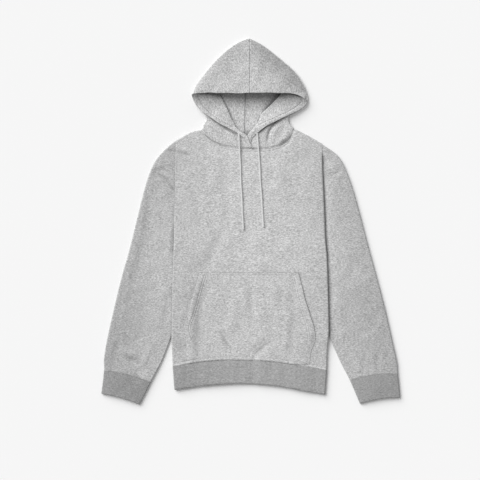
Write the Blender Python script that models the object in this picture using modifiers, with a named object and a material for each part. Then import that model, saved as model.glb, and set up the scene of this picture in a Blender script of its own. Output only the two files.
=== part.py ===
"""Pullover hoodie laid flat on its back, one closed solid for each sewn piece.

The tables are in millimetres, and the meshes are in metres. +X is to the right of the
garment as seen from above, +Y points to the hood's peak and +Z is up. The origin is on
the surface that the garment lies on, under the middle of its outline.
"""
import math
from collections import namedtuple

import bpy

MM = 0.001
WALL = 2.4                  # thickness of the fleece and of the ribbing
SEAM_GAP = 0.3              # clear space between neighbouring pieces
SEAM_SIDE = 0.5 * SEAM_GAP
FLOOR_Z = 0.5 * WALL        # height of a layer's middle where it lies on the surface
FRONT_Z = 7.0               # the same for the layer above it
FOLD_RADIUS = 0.5 * (FRONT_Z - FLOOR_Z)
SIDE_RISE_BACK = 6.5        # how far the back panel climbs over the sleeve at its sides
SIDE_RISE_FRONT = 5.0
SIDE_RISE_FLAT = 14.0       # width at the side where the whole rise holds
SIDE_RISE_WIDTH = 110.0     # where the rise has run out
ROLL_STEPS = 4              # facets round a side fold
ROLL_TURN = math.radians(150.0)
SHOULDER_STEPS = 2
SHOULDER_RIM_TILT = 0.5        # the faceted roll ends a little short of upright
SHOULDER_RADIUS = FRONT_Z - WALL - SEAM_GAP - SHOULDER_RIM_TILT
LAPEL_FOLD_RADIUS = 2.0
CORD_RADIUS = 2.4
POCKET_GAP = 0.45

Side = namedtuple("Side", "y left right wrap rise")
SIDES = [
    Side(-405, -208.6, 207.2, 1.0, 0.40),
    Side(-350, -210.6, 208.6, 1.0, 0.70),
    Side(-297, -211.0, 212.5, 1.0, 1.00),
    Side(-180, -209.2, 210.5, 1.0, 1.00),
    Side(-84, -206.0, 207.0, 1.0, 1.00),
    Side(-60, -204.8, 204.5, 0.6, 0.80),
    Side(-36, -203.8, 202.5, 0.0, 0.00),
    Side(219, -198.5, 196.0, 0.0, 0.00),
]

Point = namedtuple("Point", "x y")
HEM_SEAM = [
    Point(-206, -393), Point(-157, -383), Point(-111, -377), Point(-60, -374), Point(0, -375),
    Point(54, -378), Point(113, -386), Point(160, -394), Point(214, -405),
]
HEM_EDGE = [
    Point(-206, -455), Point(-157, -448), Point(-100, -441), Point(-30, -437), Point(35, -440),
    Point(97, -448), Point(159, -460), Point(208, -468),
]
HEM_EDGE_SCALE = 0.978      # the ribbing draws in towards its free edge
NECK_EASE = 0.5             # extra room where straight facets follow the neck curve

NECK_CLEAR = 1.3            # what the body panels keep from the neck curve, square to it
NECK_REACH = 8.0            # the neck seam's slope is read over this width on each side

Neck = namedtuple("Neck", "x front back")
NECK = [
    Neck(-130, 244, 246), Neck(-103, 219, 235), Neck(-68, 205, 227), Neck(-34, 199, 223),
    Neck(0, 197, 221), Neck(34, 197, 223), Neck(68, 202, 229), Neck(94, 213, 238),
    Neck(110, 229, 245), Neck(119, 247, 249),
]
SHOULDER_LEFT = [Point(-199, 218), Point(-178, 230), Point(-157, 240), Point(-130, 246)]
SHOULDER_RIGHT = [Point(119, 249), Point(135, 241), Point(157, 230), Point(176, 219), Point(196, 207)]

BODY_ROWS = [-350, -300, -240, -180, -125, -84, -60, -36, 20, 80, 130, 175]
SHOULDER_COLUMNS = 4

Ring = namedtuple("Ring", "outer_x outer_y inner_x inner_y inner_radius bow")
SLEEVE_LEFT = [
    Ring(-199.0, 217, -204.4, -34, 2.9, 0),
    Ring(-213, 208, -206.6, -43, 2.7, 0),
    Ring(-235, 187, -208.1, -54, 2.4, 0),
    Ring(-254, 164, -208.8, -68, 2.1, 0),
    Ring(-270, 132, -208.6, -86, 1.8, 0),
    Ring(-284, 89, -203.2, -106, 1.7, 0),
    Ring(-301, 22, -198.7, -132, 1.7, 0),
    Ring(-322, -64, -197.8, -168, 1.7, 0),
    Ring(-346, -150, -198.6, -215, 1.7, 0),
    Ring(-367, -236, -201.0, -262, 1.7, 0),
    Ring(-386, -321, -210.0, -304, 1.7, 0),
    Ring(-394, -372, -236.0, -374, 2.4, 3),
    Ring(-394, -405, -267.0, -435, 2.9, 6),
]
SLEEVE_RIGHT = [
    Ring(196.7, 206, 203.1, -34, 2.9, 0),
    Ring(211, 196, 205.5, -43, 2.7, 0),
    Ring(230.5, 182, 207.0, -54, 2.4, 0),
    Ring(247, 162, 208.0, -68, 2.1, 0),
    Ring(261, 132, 208.5, -86, 1.8, 0),
    Ring(276.5, 89, 203.5, -106, 1.7, 0),
    Ring(295.5, 22, 198.5, -132, 1.7, 0),
    Ring(318, -64, 198.0, -168, 1.7, 0),
    Ring(341.5, -150, 199.5, -215, 1.7, 0),
    Ring(364, -236, 202.0, -262, 1.7, 0),
    Ring(384, -324, 215.0, -313, 1.7, 0),
    Ring(396, -378, 243.0, -378, 2.4, 4),
    Ring(399, -413, 270.0, -431, 2.9, 7),
]
CUFF_LEFT_EDGE = Ring(-401, -465, -297.5, -495, 2.9, 4)
CUFF_RIGHT_EDGE = Ring(405.5, -475, 296.0, -492, 2.9, 5)
CUFF_STEPS = 3
SLEEVE_TOP_STEPS = 6
SLEEVE_FOLD_STEPS = 4
INNER_SLOPE = 45.0          # width over which a sleeve thins towards its tucked fold

PocketRow = namedtuple("PocketRow", "y left right")
POCKET = [
    PocketRow(-389, -168, 159), PocketRow(-351, -169, 164.5), PocketRow(-318, -171, 175.5),
    PocketRow(-290, -178, 172), PocketRow(-250, -166, 160), PocketRow(-212, -155, 148),
    PocketRow(-175, -145, 139), PocketRow(-138, -134, 130),
]
POCKET_COLUMNS = 16

# One row for each line across a hood panel, from the front edge to the centre-back seam.
# "flat" is 1 where the line has no pleat, and "snap" is 1 on the neck seam.
HoodLine = namedtuple("HoodLine", "face_x face_y face_z fold_x fold_y side_x side_y seam_y flat snap")
HOOD_LEFT = [
    HoodLine(-1, 344, 27, -2, 418, -6, 490, 470, 1, 0),
    HoodLine(-32, 344, 26.5, -34, 410, -42, 474, 450, 1, 0),
    HoodLine(-64, 344, 25, -68, 392, -84, 441, 426, 1, 0),
    HoodLine(-96, 344, 22, -100, 374, -117, 405, 402, 1, 0),
    HoodLine(-126, 344, 18, -104, 356, -141, 375, 381, 1, 0),
    HoodLine(-148, 343, 15, -96, 350, -152, 351, 361, 1, 0),
    HoodLine(-156, 338, 14, -84, 347, -155, 335, 342, 0, 0),
    HoodLine(-146, 314, 15, -71, 320, -144, 312, 322, 0, 0),
    HoodLine(-129, 295, 15, -60, 298, -127, 292, 302, 0, 0),
    HoodLine(-104, 277, 14, -51, 277, -118, 278, 283, 0, 0),
    HoodLine(-76, 259, 13, -42, 260, -122, 266, 264, 0, 0),
    HoodLine(-54, 249, 12.5, -34, 251, -126, 258, 252, 0, 0),
    HoodLine(-31, 238, 12, -17, 241, -128, 251, 240, 0, 0),
    HoodLine(0, 223, 10.1, 4, 224, -129, 248, 229, 1, 0.7),
    HoodLine(11, 197, 10.1, 13, 200, -130, 246, 221, 1, 1),
]
HOOD_RIGHT = [
    HoodLine(1, 344, 27, 0, 418, 2, 490, 470, 1, 0),
    HoodLine(34, 344, 26.5, 36, 412, 40, 468, 450, 1, 0),
    HoodLine(68, 344, 25, 72, 396, 84, 433, 426, 1, 0),
    HoodLine(100, 343, 22, 104, 376, 121, 399, 402, 1, 0),
    HoodLine(127, 339, 18, 108, 362, 144, 366, 381, 1, 0),
    HoodLine(146, 330, 16, 100, 354, 156, 337, 361, 1, 0),
    HoodLine(153, 320, 16, 89, 348, 155, 317, 342, 0, 0),
    HoodLine(145, 308, 18, 74, 330, 144, 305, 322, 0, 0),
    HoodLine(128, 297, 19, 56, 311, 127, 294, 304, 0, 0),
    HoodLine(105, 286, 18, 40, 297, 107, 282, 286, 0, 0),
    HoodLine(86, 277, 16, 28, 281, 105, 272, 272, 0, 0),
    HoodLine(66, 266, 14, 24, 267, 106, 264, 261, 0, 0),
    HoodLine(44, 253, 12.5, 20, 254, 109, 257, 251, 0, 0),
    HoodLine(26, 241, 12, 13, 243, 113, 252, 240, 0, 0),
    HoodLine(2, 217, 7, 6, 224, 114, 251, 229, 1, 0.7),
    HoodLine(-3, 197, 7, 0, 205, 114, 250, 221, 1, 1),
]
SEAM_TOP_X = -1.0           # the centre seam on the crown
BACK_SEAM = [Point(-11, 221), Point(-14, 238), Point(-12, 343), Point(-1, 470)]
LAPEL_STEPS = 3
FOLD_STEPS = 3
COLLAR_STEPS = 4
SIDE_FOLD_STEPS = 4
BACK_STEPS = 4
EDGE_WIDTH = 18.0           # strip of the collar beside its front edge, below the pleat
FOLD_LIFT = 2.0             # the neck seam climbs to the back panel in the fold's upper half
PEAK_EASE = 0.8             # room at the peak, where the rims of the two panels slant

# The free ends of the one drawcord, from the hood's front edge down over the chest.
CordPoint = namedtuple("CordPoint", "x y lift")
CORD_LEFT = [
    CordPoint(-29.5, 222, 2.0), CordPoint(-28, 190, 1.0), CordPoint(-24.5, 120, 0),
    CordPoint(-21, 50, 0), CordPoint(-18.5, -24, 0),
]
CORD_RIGHT = [
    CordPoint(20.5, 221, 0.6), CordPoint(23, 190, 0.3), CordPoint(28, 120, 0),
    CordPoint(32.5, 50, 0), CordPoint(35.5, -17, 0),
]
CORD_HEIGHT = FRONT_Z + 0.5 * WALL + SEAM_GAP + CORD_RADIUS
CORD_SPACING = 12.0


# ---- curves through short tables ------------------------------------------------------------

def hermite(p0, p1, p2, p3, t):
    """Point on the smooth curve from p1 to p2 (Catmull-Rom)."""
    slope_1 = 0.5 * (p2 - p0)
    slope_2 = 0.5 * (p3 - p1)
    t2 = t * t
    t3 = t2 * t
    return ((2 * t3 - 3 * t2 + 1) * p1 + (t3 - 2 * t2 + t) * slope_1
            + (3 * t2 - 2 * t3) * p2 + (t3 - t2) * slope_2)


def row_at(table, place):
    """A row of the table at a fractional row number, each column on its own smooth curve."""
    place = min(max(place, 0.0), len(table) - 1.0)
    i = min(int(place), len(table) - 2)
    rows = [table[max(i - 1, 0)], table[i], table[i + 1], table[min(i + 2, len(table) - 1)]]
    return type(table[0])(*[hermite(*[row[c] for row in rows], place - i) for c in range(len(rows[0]))])


def linear(table, key, column, value):
    """Straight-line reading of a column at a value of the key, which rises down the table."""
    if value <= getattr(table[0], key):
        return getattr(table[0], column)
    for low, high in zip(table, table[1:]):
        a = getattr(low, key)
        b = getattr(high, key)
        if value <= b:
            t = (value - a) / (b - a)
            return getattr(low, column) * (1 - t) + getattr(high, column) * t
    return getattr(table[-1], column)


def smooth(t):
    t = min(max(t, 0.0), 1.0)
    return t * t * (3 - 2 * t)


def mix(a, b, t):
    return a * (1 - t) + b * t


# ---- meshes -----------------------------------------------------------------------------------

def cloth(name, rows, closed, material, collection, parent):
    """A wall of cloth: rows of points in millimetres, joined into quads and given its thickness."""
    count = len(rows[0])
    vertices = [(x * MM, y * MM, z * MM) for row in rows for x, y, z in row]
    faces = []
    for r in range(len(rows) - 1):
        for c in range(count if closed else count - 1):
            d = (c + 1) % count
            faces.append((r * count + c, r * count + d, (r + 1) * count + d, (r + 1) * count + c))
    mesh = bpy.data.meshes.new(name)
    mesh.from_pydata(vertices, [], faces)
    mesh.materials.append(material)
    mesh.shade_smooth()
    piece = bpy.data.objects.new(name, mesh)
    piece.parent = parent
    collection.objects.link(piece)
    wall = piece.modifiers.new("wall", "SOLIDIFY")
    wall.thickness = WALL * MM
    wall.offset = 0.0
    wall.use_even_offset = True
    wall.use_quality_normals = True
    return piece


def cord(name, route, material, collection, parent):
    """A round cord on a polyline whose points are read from a smooth curve through the route."""
    samples = [row_at(route, i / 20.0) for i in range(20 * (len(route) - 1) + 1)]
    points = [samples[0]]
    for sample in samples[1:]:
        if math.dist(sample, points[-1]) >= CORD_SPACING:
            points.append(sample)
    if math.dist(samples[-1], points[-1]) < 0.5 * CORD_SPACING:
        points.pop()
    points.append(samples[-1])
    curve = bpy.data.curves.new(name, "CURVE")
    curve.dimensions = "3D"
    curve.bevel_depth = CORD_RADIUS * MM
    curve.bevel_resolution = 2
    curve.use_fill_caps = True
    curve.materials.append(material)
    spline = curve.splines.new("POLY")
    spline.points.add(len(points) - 1)
    for place, point in zip(spline.points, points):
        place.co = (point.x * MM, point.y * MM, (CORD_HEIGHT + point.lift) * MM, 1.0)
    piece = bpy.data.objects.new(name, curve)
    piece.parent = parent
    collection.objects.link(piece)
    return piece


def finish(name, colour, roughness):
    material = bpy.data.materials.new(name)
    material.use_nodes = True
    shader = material.node_tree.nodes["Principled BSDF"]
    shader.inputs["Base Color"].default_value = (*colour, 1.0)
    shader.inputs["Roughness"].default_value = roughness
    shader.inputs["Metallic"].default_value = 0.0
    return material


# ---- body -------------------------------------------------------------------------------------

def side_rise(x, y, full):
    """How far a body layer is lifted at a point by the sleeve that lies under its side."""
    left = linear(SIDES, "y", "left", y)
    right = linear(SIDES, "y", "right", y)
    from_side = min(x - left, right - x)
    run_out = (from_side - SIDE_RISE_FLAT) / (SIDE_RISE_WIDTH - SIDE_RISE_FLAT)
    return full * linear(SIDES, "y", "rise", y) * (1 - smooth(run_out))


def front_z(x, y):
    return FRONT_Z + side_rise(x, y, SIDE_RISE_FRONT)


def back_z(x, y):
    return FLOOR_Z + side_rise(x, y, SIDE_RISE_BACK)


def side_roll(y, steps):
    """Offsets (outward, up) of the front panel's roll round the side, one chord for each step."""
    radius = 0.5 * (FRONT_Z - FLOOR_Z + linear(SIDES, "y", "rise", y) * (SIDE_RISE_FRONT - SIDE_RISE_BACK))
    wrap = linear(SIDES, "y", "wrap", y)
    chord = 2 * radius * math.sin(0.5 * ROLL_TURN / ROLL_STEPS)
    offsets = [(0.0, 0.0)]
    for k in range(steps):
        heading = wrap * (k + 0.5) * ROLL_TURN / ROLL_STEPS
        out, up = offsets[-1]
        offsets.append((out + chord * math.cos(heading), up - chord * math.sin(heading)))
    return offsets


def column_places():
    """Fractions across the body, with a column on each point of the neck seam."""
    left, right = SIDES[-1].left, SIDES[-1].right
    neck = [(point.x - left) / (right - left) for point in NECK]
    places = [neck[0] * k / SHOULDER_COLUMNS for k in range(SHOULDER_COLUMNS)]
    places += neck
    places += [mix(neck[-1], 1.0, (k + 1) / SHOULDER_COLUMNS) for k in range(SHOULDER_COLUMNS)]
    return places


def top_edge(x, neck):
    """Height on the page of the body's upper edge: shoulder, neck, shoulder."""
    if x <= NECK[0].x:
        return linear(SHOULDER_LEFT, "x", "y", x)
    if x >= NECK[-1].x:
        return linear(SHOULDER_RIGHT, "x", "y", x)
    slope = (linear(NECK, "x", neck, x + NECK_REACH) - linear(NECK, "x", neck, x - NECK_REACH)) / (2 * NECK_REACH)
    return linear(NECK, "x", neck, x) - NECK_CLEAR * math.hypot(1.0, slope)


def body_row(y_side, height, steps, rolled, shape):
    """One row across a body panel. shape(x, t) gives y for a place across and up the panel."""
    left = linear(SIDES, "y", "left", y_side) + 0.5 * WALL * linear(SIDES, "y", "wrap", y_side)
    right = linear(SIDES, "y", "right", y_side) - 0.5 * WALL * linear(SIDES, "y", "wrap", y_side)
    left += SEAM_SIDE
    right -= SEAM_SIDE
    roll = side_roll(y_side, steps)
    reach = max(out for out, up in side_roll(y_side, ROLL_STEPS))
    if not rolled and linear(SIDES, "y", "wrap", y_side) < 0.5:
        reach = 0.0
    places = column_places()
    start = left + reach
    end = right - reach
    row = []
    for out, up in reversed(roll[1:]):
        x = start - out
        row.append((x, shape(x), height(start, y_side) + up))
    for place in places:
        x = mix(start, end, place)
        row.append((x, shape(x), height(x, y_side)))
    for out, up in roll[1:]:
        x = end + out
        row.append((x, shape(x), height(end, y_side) + up))
    return row


def body_heights():
    return [SIDES[0].y] + BODY_ROWS


def panel_rows(height, steps, rolled, neck, shoulder_drop):
    """Rows of a body panel from the hem seam to the shoulders."""
    y_low = SIDES[0].y
    y_high = SIDES[-1].y
    rows = []
    for y_side in body_heights():
        t = (y_side - y_low) / (y_high - y_low)
        rows.append(body_row(y_side, height, steps, rolled,
                             lambda x: mix(hem_seam(x), top_edge(x, neck) - shoulder_drop, t)))
    return rows


def hem_seam(x):
    return linear(HEM_SEAM, "x", "y", x) + SEAM_SIDE


def front_rows():
    rows = panel_rows(front_z, ROLL_STEPS, True, "front", SHOULDER_RADIUS)
    base = body_row(SIDES[-1].y, front_z, ROLL_STEPS, True,
                    lambda x: top_edge(x, "front") - SHOULDER_RADIUS - 0.5 * WALL)
    rows.append(base)
    turn = 0.5 * math.pi / SHOULDER_STEPS
    chord = 2 * SHOULDER_RADIUS * math.sin(0.5 * turn)
    for k in range(SHOULDER_STEPS):
        heading = (k + 0.5) * turn
        row = []
        for (x, y, z), (base_x, base_y, base_z) in zip(rows[-1], base):
            on_shoulder = x <= NECK[0].x or x >= NECK[-1].x
            if on_shoulder:
                row.append((x, y + chord * math.cos(heading), z - chord * math.sin(heading)))
            else:
                row.append((x, base_y + (SHOULDER_RADIUS + 0.5 * WALL) * (k + 1) / SHOULDER_STEPS, z))
        rows.append(row)
    return rows


def back_rows():
    rows = panel_rows(back_z, 0, False, "back", SHOULDER_RADIUS)
    rows.append(body_row(SIDES[-1].y, back_z, 0, False,
                         lambda x: top_edge(x, "back")))
    return rows


def hem_rows(front, back):
    """A ring that continues the body's lowest row, carried down to the free edge."""
    ring = front[0] + back[0][::-1]
    rows = []
    for k in range(4):
        t = k / 3.0
        row = []
        for x, y, z in ring:
            x_low = x * mix(1.0, HEM_EDGE_SCALE, t)
            top = linear(HEM_SEAM, "x", "y", x) - SEAM_SIDE
            low = linear(HEM_EDGE, "x", "y", x_low)
            row.append((x_low, mix(top, low, t), z))
        rows.append(row)
    return rows


def pocket_rows():
    rows = []
    for place in POCKET:
        row = []
        for k in range(POCKET_COLUMNS + 1):
            x = mix(place.left, place.right, k / POCKET_COLUMNS)
            y = max(place.y, hem_seam(x) + 0.5) if place is POCKET[0] else place.y
            row.append((x, y, front_z(x, y) + WALL + POCKET_GAP))
        rows.append(row)
    return rows


# ---- sleeves and cuffs --------------------------------------------------------------------------

def outward(before, after, away_from, at):
    """Unit direction in plan, square to the outline and pointing away from the other side."""
    x = after[1] - before[1]
    y = before[0] - after[0]
    length = math.hypot(x, y)
    sign = 1.0 if x * (at[0] - away_from[0]) + y * (at[1] - away_from[1]) > 0 else -1.0
    return sign * x / length, sign * y / length


def tube_ring(rings, place, shift=0.0):
    """A flattened ring at a whole or fractional place in a list of rings, between two folds."""
    i = min(int(place), len(rings) - 2)
    ring = Ring(*[mix(a, b, place - i) for a, b in zip(rings[i], rings[i + 1])])
    before = rings[i - 1] if place == i and i > 0 else rings[i]
    after = rings[min(i + 1, len(rings) - 1)]
    outer = (ring.outer_x, ring.outer_y)
    inner = (ring.inner_x, ring.inner_y)
    out_x, out_y = outward(before[0:2], after[0:2], inner, outer)
    if place == 0:
        length = math.dist(outer, inner)
        out_x, out_y = (outer[0] - inner[0]) / length, (outer[1] - inner[1]) / length
    in_x, in_y = outward(before[2:4], after[2:4], outer, inner)
    radius = ring.inner_radius
    start = (outer[0] - out_x * (0.5 * WALL + FOLD_RADIUS), outer[1] - out_y * (0.5 * WALL + FOLD_RADIUS))
    end = (inner[0] - in_x * (0.5 * WALL + radius), inner[1] - in_y * (0.5 * WALL + radius))
    width = math.dist(start, end)

    def across(t, z):
        return (mix(start[0], end[0], t), mix(start[1], end[1], t) + ring.bow * 4 * t * (1 - t) + shift, z)

    points = []
    for k in range(SLEEVE_TOP_STEPS + 1):
        t = k / SLEEVE_TOP_STEPS
        drop = 2 * (FOLD_RADIUS - radius) * smooth(1 - (1 - t) * width / INNER_SLOPE)
        points.append(across(t, FRONT_Z - drop))
    for k in range(1, SLEEVE_FOLD_STEPS):
        angle = math.pi * k / SLEEVE_FOLD_STEPS
        reach = radius * math.sin(angle)
        points.append((end[0] + in_x * reach, end[1] + in_y * reach + shift,
                       FLOOR_Z + radius * (1 + math.cos(angle))))
    for k in range(SLEEVE_TOP_STEPS + 1):
        points.append(across(1 - k / SLEEVE_TOP_STEPS, FLOOR_Z))
    for k in range(1, SLEEVE_FOLD_STEPS):
        angle = math.pi * k / SLEEVE_FOLD_STEPS
        reach = FOLD_RADIUS * math.sin(angle)
        points.append((start[0] + out_x * reach, start[1] + out_y * reach + shift,
                       FLOOR_Z + FOLD_RADIUS * (1 - math.cos(angle))))
    return points


def sleeve_rows(rings, cuff_edge):
    chain = rings + [cuff_edge]
    last = len(rings) - 1
    return [tube_ring(chain, k) for k in range(last)] + [tube_ring(chain, last, SEAM_SIDE)]


def cuff_rows(rings, cuff_edge):
    chain = rings + [cuff_edge]
    last = len(rings) - 1
    rows = [tube_ring(chain, last, -SEAM_SIDE)]
    for k in range(1, CUFF_STEPS + 1):
        rows.append(tube_ring(chain, last + k / CUFF_STEPS))
    return rows


# ---- hood -----------------------------------------------------------------------------------------

def hood_line(line, side):
    """Points across a hood panel: face edge, lapel, inner fold, collar layer, side fold, back layer."""
    inward = -side          # the direction from the side fold to the centre seam
    ahead = LAPEL_STEPS + FOLD_STEPS + COLLAR_STEPS
    side_x = line.side_x + inward * (0.5 * WALL + FOLD_RADIUS)
    fold_x = line.fold_x + side * LAPEL_FOLD_RADIUS
    lapel_z = FRONT_Z + 2 * LAPEL_FOLD_RADIUS
    pleated = []
    for k in range(LAPEL_STEPS + 1):
        t = k / LAPEL_STEPS
        pleated.append((mix(line.face_x, fold_x, t), mix(line.face_y, line.fold_y, t),
                        mix(line.face_z, lapel_z, t)))
    for k in range(1, FOLD_STEPS):
        angle = math.pi * k / FOLD_STEPS
        pleated.append((fold_x + inward * LAPEL_FOLD_RADIUS * math.sin(angle), line.fold_y,
                        FRONT_Z + LAPEL_FOLD_RADIUS * (1 + math.cos(angle))))
    for k in range(COLLAR_STEPS + 1):
        t = k / COLLAR_STEPS
        pleated.append((mix(fold_x, side_x, t), mix(line.fold_y, line.side_y, t), FRONT_Z))
    points = []
    edge_share = EDGE_WIDTH / math.dist((line.face_x, line.face_y), (side_x, line.side_y))
    for k, (x, y, z) in enumerate(pleated):
        t = k / ahead
        if line.snap > 0 and k <= LAPEL_STEPS + FOLD_STEPS:
            t = edge_share * k / (LAPEL_STEPS + FOLD_STEPS)
        elif line.snap > 0:
            t = mix(edge_share, 1.0, (k - LAPEL_STEPS - FOLD_STEPS) / COLLAR_STEPS)
        rise = math.cos(0.5 * math.pi * t) ** 0.8 if k < ahead else 0.0
        if line.snap > 0:
            rise = 1.0 if k <= LAPEL_STEPS + FOLD_STEPS else 0.0
        flat_x = mix(line.face_x, side_x, t)
        flat_y = mix(line.face_y, line.side_y, t)
        flat_z = FRONT_Z + (line.face_z - FRONT_Z) * rise
        x = mix(x, flat_x, line.flat)
        y = mix(y, flat_y, line.flat)
        z = mix(z, flat_z, line.flat)
        seam_y = linear(NECK, "x", "front", x) + SEAM_SIDE + NECK_EASE
        points.append((x, mix(y, seam_y, line.snap), z))
    collar_y = points[-1][1]
    back_y = mix(line.side_y, linear(NECK, "x", "back", side_x) + SEAM_SIDE + NECK_EASE, line.snap)
    for k in range(1, SIDE_FOLD_STEPS):
        angle = math.pi * k / SIDE_FOLD_STEPS
        points.append((side_x + side * FOLD_RADIUS * math.sin(angle),
                       mix(collar_y, back_y + NECK_EASE, min(1.0, FOLD_LIFT * k / SIDE_FOLD_STEPS)),
                       FLOOR_Z + FOLD_RADIUS * (1 + math.cos(angle))))
    seam_x = linear(BACK_SEAM, "y", "x", line.seam_y) + side * SEAM_SIDE
    for k in range(BACK_STEPS + 1):
        t = k / BACK_STEPS
        x = mix(side_x, seam_x, t)
        y = mix(line.side_y, line.seam_y, t)
        seam_y = linear(NECK, "x", "back", x) + SEAM_SIDE + NECK_EASE
        points.append((x, mix(y, seam_y, line.snap), FLOOR_Z))
    return points


def hood_rows(table, side):
    rows = [hood_line(line, side) for line in table]
    ahead = LAPEL_STEPS + FOLD_STEPS + COLLAR_STEPS
    for k, (x, y, z) in enumerate(rows[0]):
        ease = PEAK_EASE if k >= ahead - 1 else 0.0
        rows[0][k] = (SEAM_TOP_X + side * (SEAM_SIDE + ease), y, z)
    return rows


# ---- the hoodie -------------------------------------------------------------------------------------

def build():
    for old in list(bpy.data.objects):
        bpy.data.objects.remove(old, do_unlink=True)
    collection = bpy.data.collections.new("hoodie")
    bpy.context.scene.collection.children.link(collection)
    garment = bpy.data.objects.new("hoodie_origin", None)
    collection.objects.link(garment)
    fleece = finish("fleece", (0.50, 0.50, 0.50), 0.95)
    ribbing = finish("ribbing", (0.36, 0.36, 0.36), 0.95)
    cording = finish("cording", (0.58, 0.58, 0.58), 0.85)
    front = front_rows()
    back = back_rows()
    pieces = [
        ("body_front", front, False, fleece),
        ("body_back", back, False, fleece),
        ("pocket", pocket_rows(), False, fleece),
        ("hem_rib", hem_rows(front, back), True, ribbing),
        ("sleeve_left", sleeve_rows(SLEEVE_LEFT, CUFF_LEFT_EDGE), True, fleece),
        ("sleeve_right", sleeve_rows(SLEEVE_RIGHT, CUFF_RIGHT_EDGE), True, fleece),
        ("cuff_left", cuff_rows(SLEEVE_LEFT, CUFF_LEFT_EDGE), True, ribbing),
        ("cuff_right", cuff_rows(SLEEVE_RIGHT, CUFF_RIGHT_EDGE), True, ribbing),
        ("hood_left", hood_rows(HOOD_LEFT, -1), False, fleece),
        ("hood_right", hood_rows(HOOD_RIGHT, 1), False, fleece),
    ]
    for name, rows, closed, material in pieces:
        cloth(name, rows, closed, material, collection, garment)
    cord("drawcord_left", CORD_LEFT, cording, collection, garment)
    cord("drawcord_right", CORD_RIGHT, cording, collection, garment)


build()
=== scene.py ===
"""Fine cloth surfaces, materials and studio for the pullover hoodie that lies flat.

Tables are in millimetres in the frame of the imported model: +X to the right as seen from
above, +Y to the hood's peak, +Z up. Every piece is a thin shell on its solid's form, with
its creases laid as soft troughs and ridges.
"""
import math

import bpy
import numpy as np
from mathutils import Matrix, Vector


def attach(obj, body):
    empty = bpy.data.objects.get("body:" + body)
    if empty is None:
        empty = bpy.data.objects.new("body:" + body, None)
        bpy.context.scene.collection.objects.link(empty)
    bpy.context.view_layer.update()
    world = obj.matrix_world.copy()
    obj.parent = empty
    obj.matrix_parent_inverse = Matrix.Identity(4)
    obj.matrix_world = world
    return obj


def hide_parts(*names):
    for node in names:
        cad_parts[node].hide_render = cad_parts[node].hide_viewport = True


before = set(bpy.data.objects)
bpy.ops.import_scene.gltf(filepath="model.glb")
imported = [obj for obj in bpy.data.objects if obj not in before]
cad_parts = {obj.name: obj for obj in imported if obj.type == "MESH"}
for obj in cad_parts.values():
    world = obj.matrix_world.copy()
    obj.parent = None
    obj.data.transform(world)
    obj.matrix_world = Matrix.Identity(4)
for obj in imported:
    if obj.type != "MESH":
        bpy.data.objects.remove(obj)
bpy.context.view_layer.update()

MM = 0.001
CLOTH = 1.8                 # thickness of the visible shells
FLOOR_Z = 0.5 * CLOTH       # middle of a layer that lies on the floor
FRONT_Z = 7.0               # middle of the layer above it
FOLD_RADIUS = 0.5 * (FRONT_Z - FLOOR_Z)
LAPEL_RADIUS = 1.4

# ---- tables shared with the solids ----

# columns of the tables below: the sides' and the pocket's edges, the neck's two lines
LEFT, RIGHT, FRONT_RISE, BACK_RISE = 1, 2, 4, 5
FRONT, BACK = 1, 2
# y, left edge, right edge, share of the side fold, front's and back's rise over the sleeve
SIDES = np.array([
    (-405, -208.6, 207.2, 1.0, 0.15, 0.15), (-350, -210.6, 208.6, 1.0, 0.35, 0.35),
    (-320, -211.6, 210.6, 1.0, 0.80, 0.80), (-297, -211.0, 212.5, 1.0, 1.00, 1.00),
    (-180, -209.2, 210.5, 1.0, 1.00, 1.00),
    (-84, -206.0, 207.0, 1.0, 1.00, 1.00), (-60, -204.8, 204.5, 0.6, 0.90, 0.70),
    (-36, -203.8, 202.5, 0.0, 0.75, 0.00), (30, -202.0, 200.2, 0.0, 0.50, 0.00),
    (120, -200.2, 196.4, 0.0, 0.30, 0.00), (170, -199.4, 194.3, 0.0, 0.15, 0.00),
    (219, -198.5, 193.3, 0.0, 0.00, 0.00)], float)
HEM_SEAM = np.array([
    (-206, -393), (-157, -383), (-111, -377), (-60, -374), (0, -375), (54, -378),
    (113, -386), (160, -394), (214, -405)], float)
HEM_EDGE = np.array([
    (-206, -455), (-157, -448), (-100, -441), (-30, -437), (35, -440), (97, -448),
    (159, -460), (208, -468)], float)
HEM_EDGE_SCALE = 0.978
# x, front neck line, back neck line
NECK = np.array([
    (-130, 244, 246), (-103, 219, 235), (-68, 205, 227), (-34, 199, 223), (0, 197, 221),
    (34, 197, 223), (68, 202, 229), (94, 213, 238), (110, 229, 245), (119, 247, 249)], float)
SHOULDER_LEFT = np.array([(-199, 218), (-178, 230), (-157, 240), (-130, 246)], float)
SHOULDER_RIGHT = np.array([(119, 249), (135, 241), (157, 230), (176, 219), (196, 207)], float)
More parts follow.
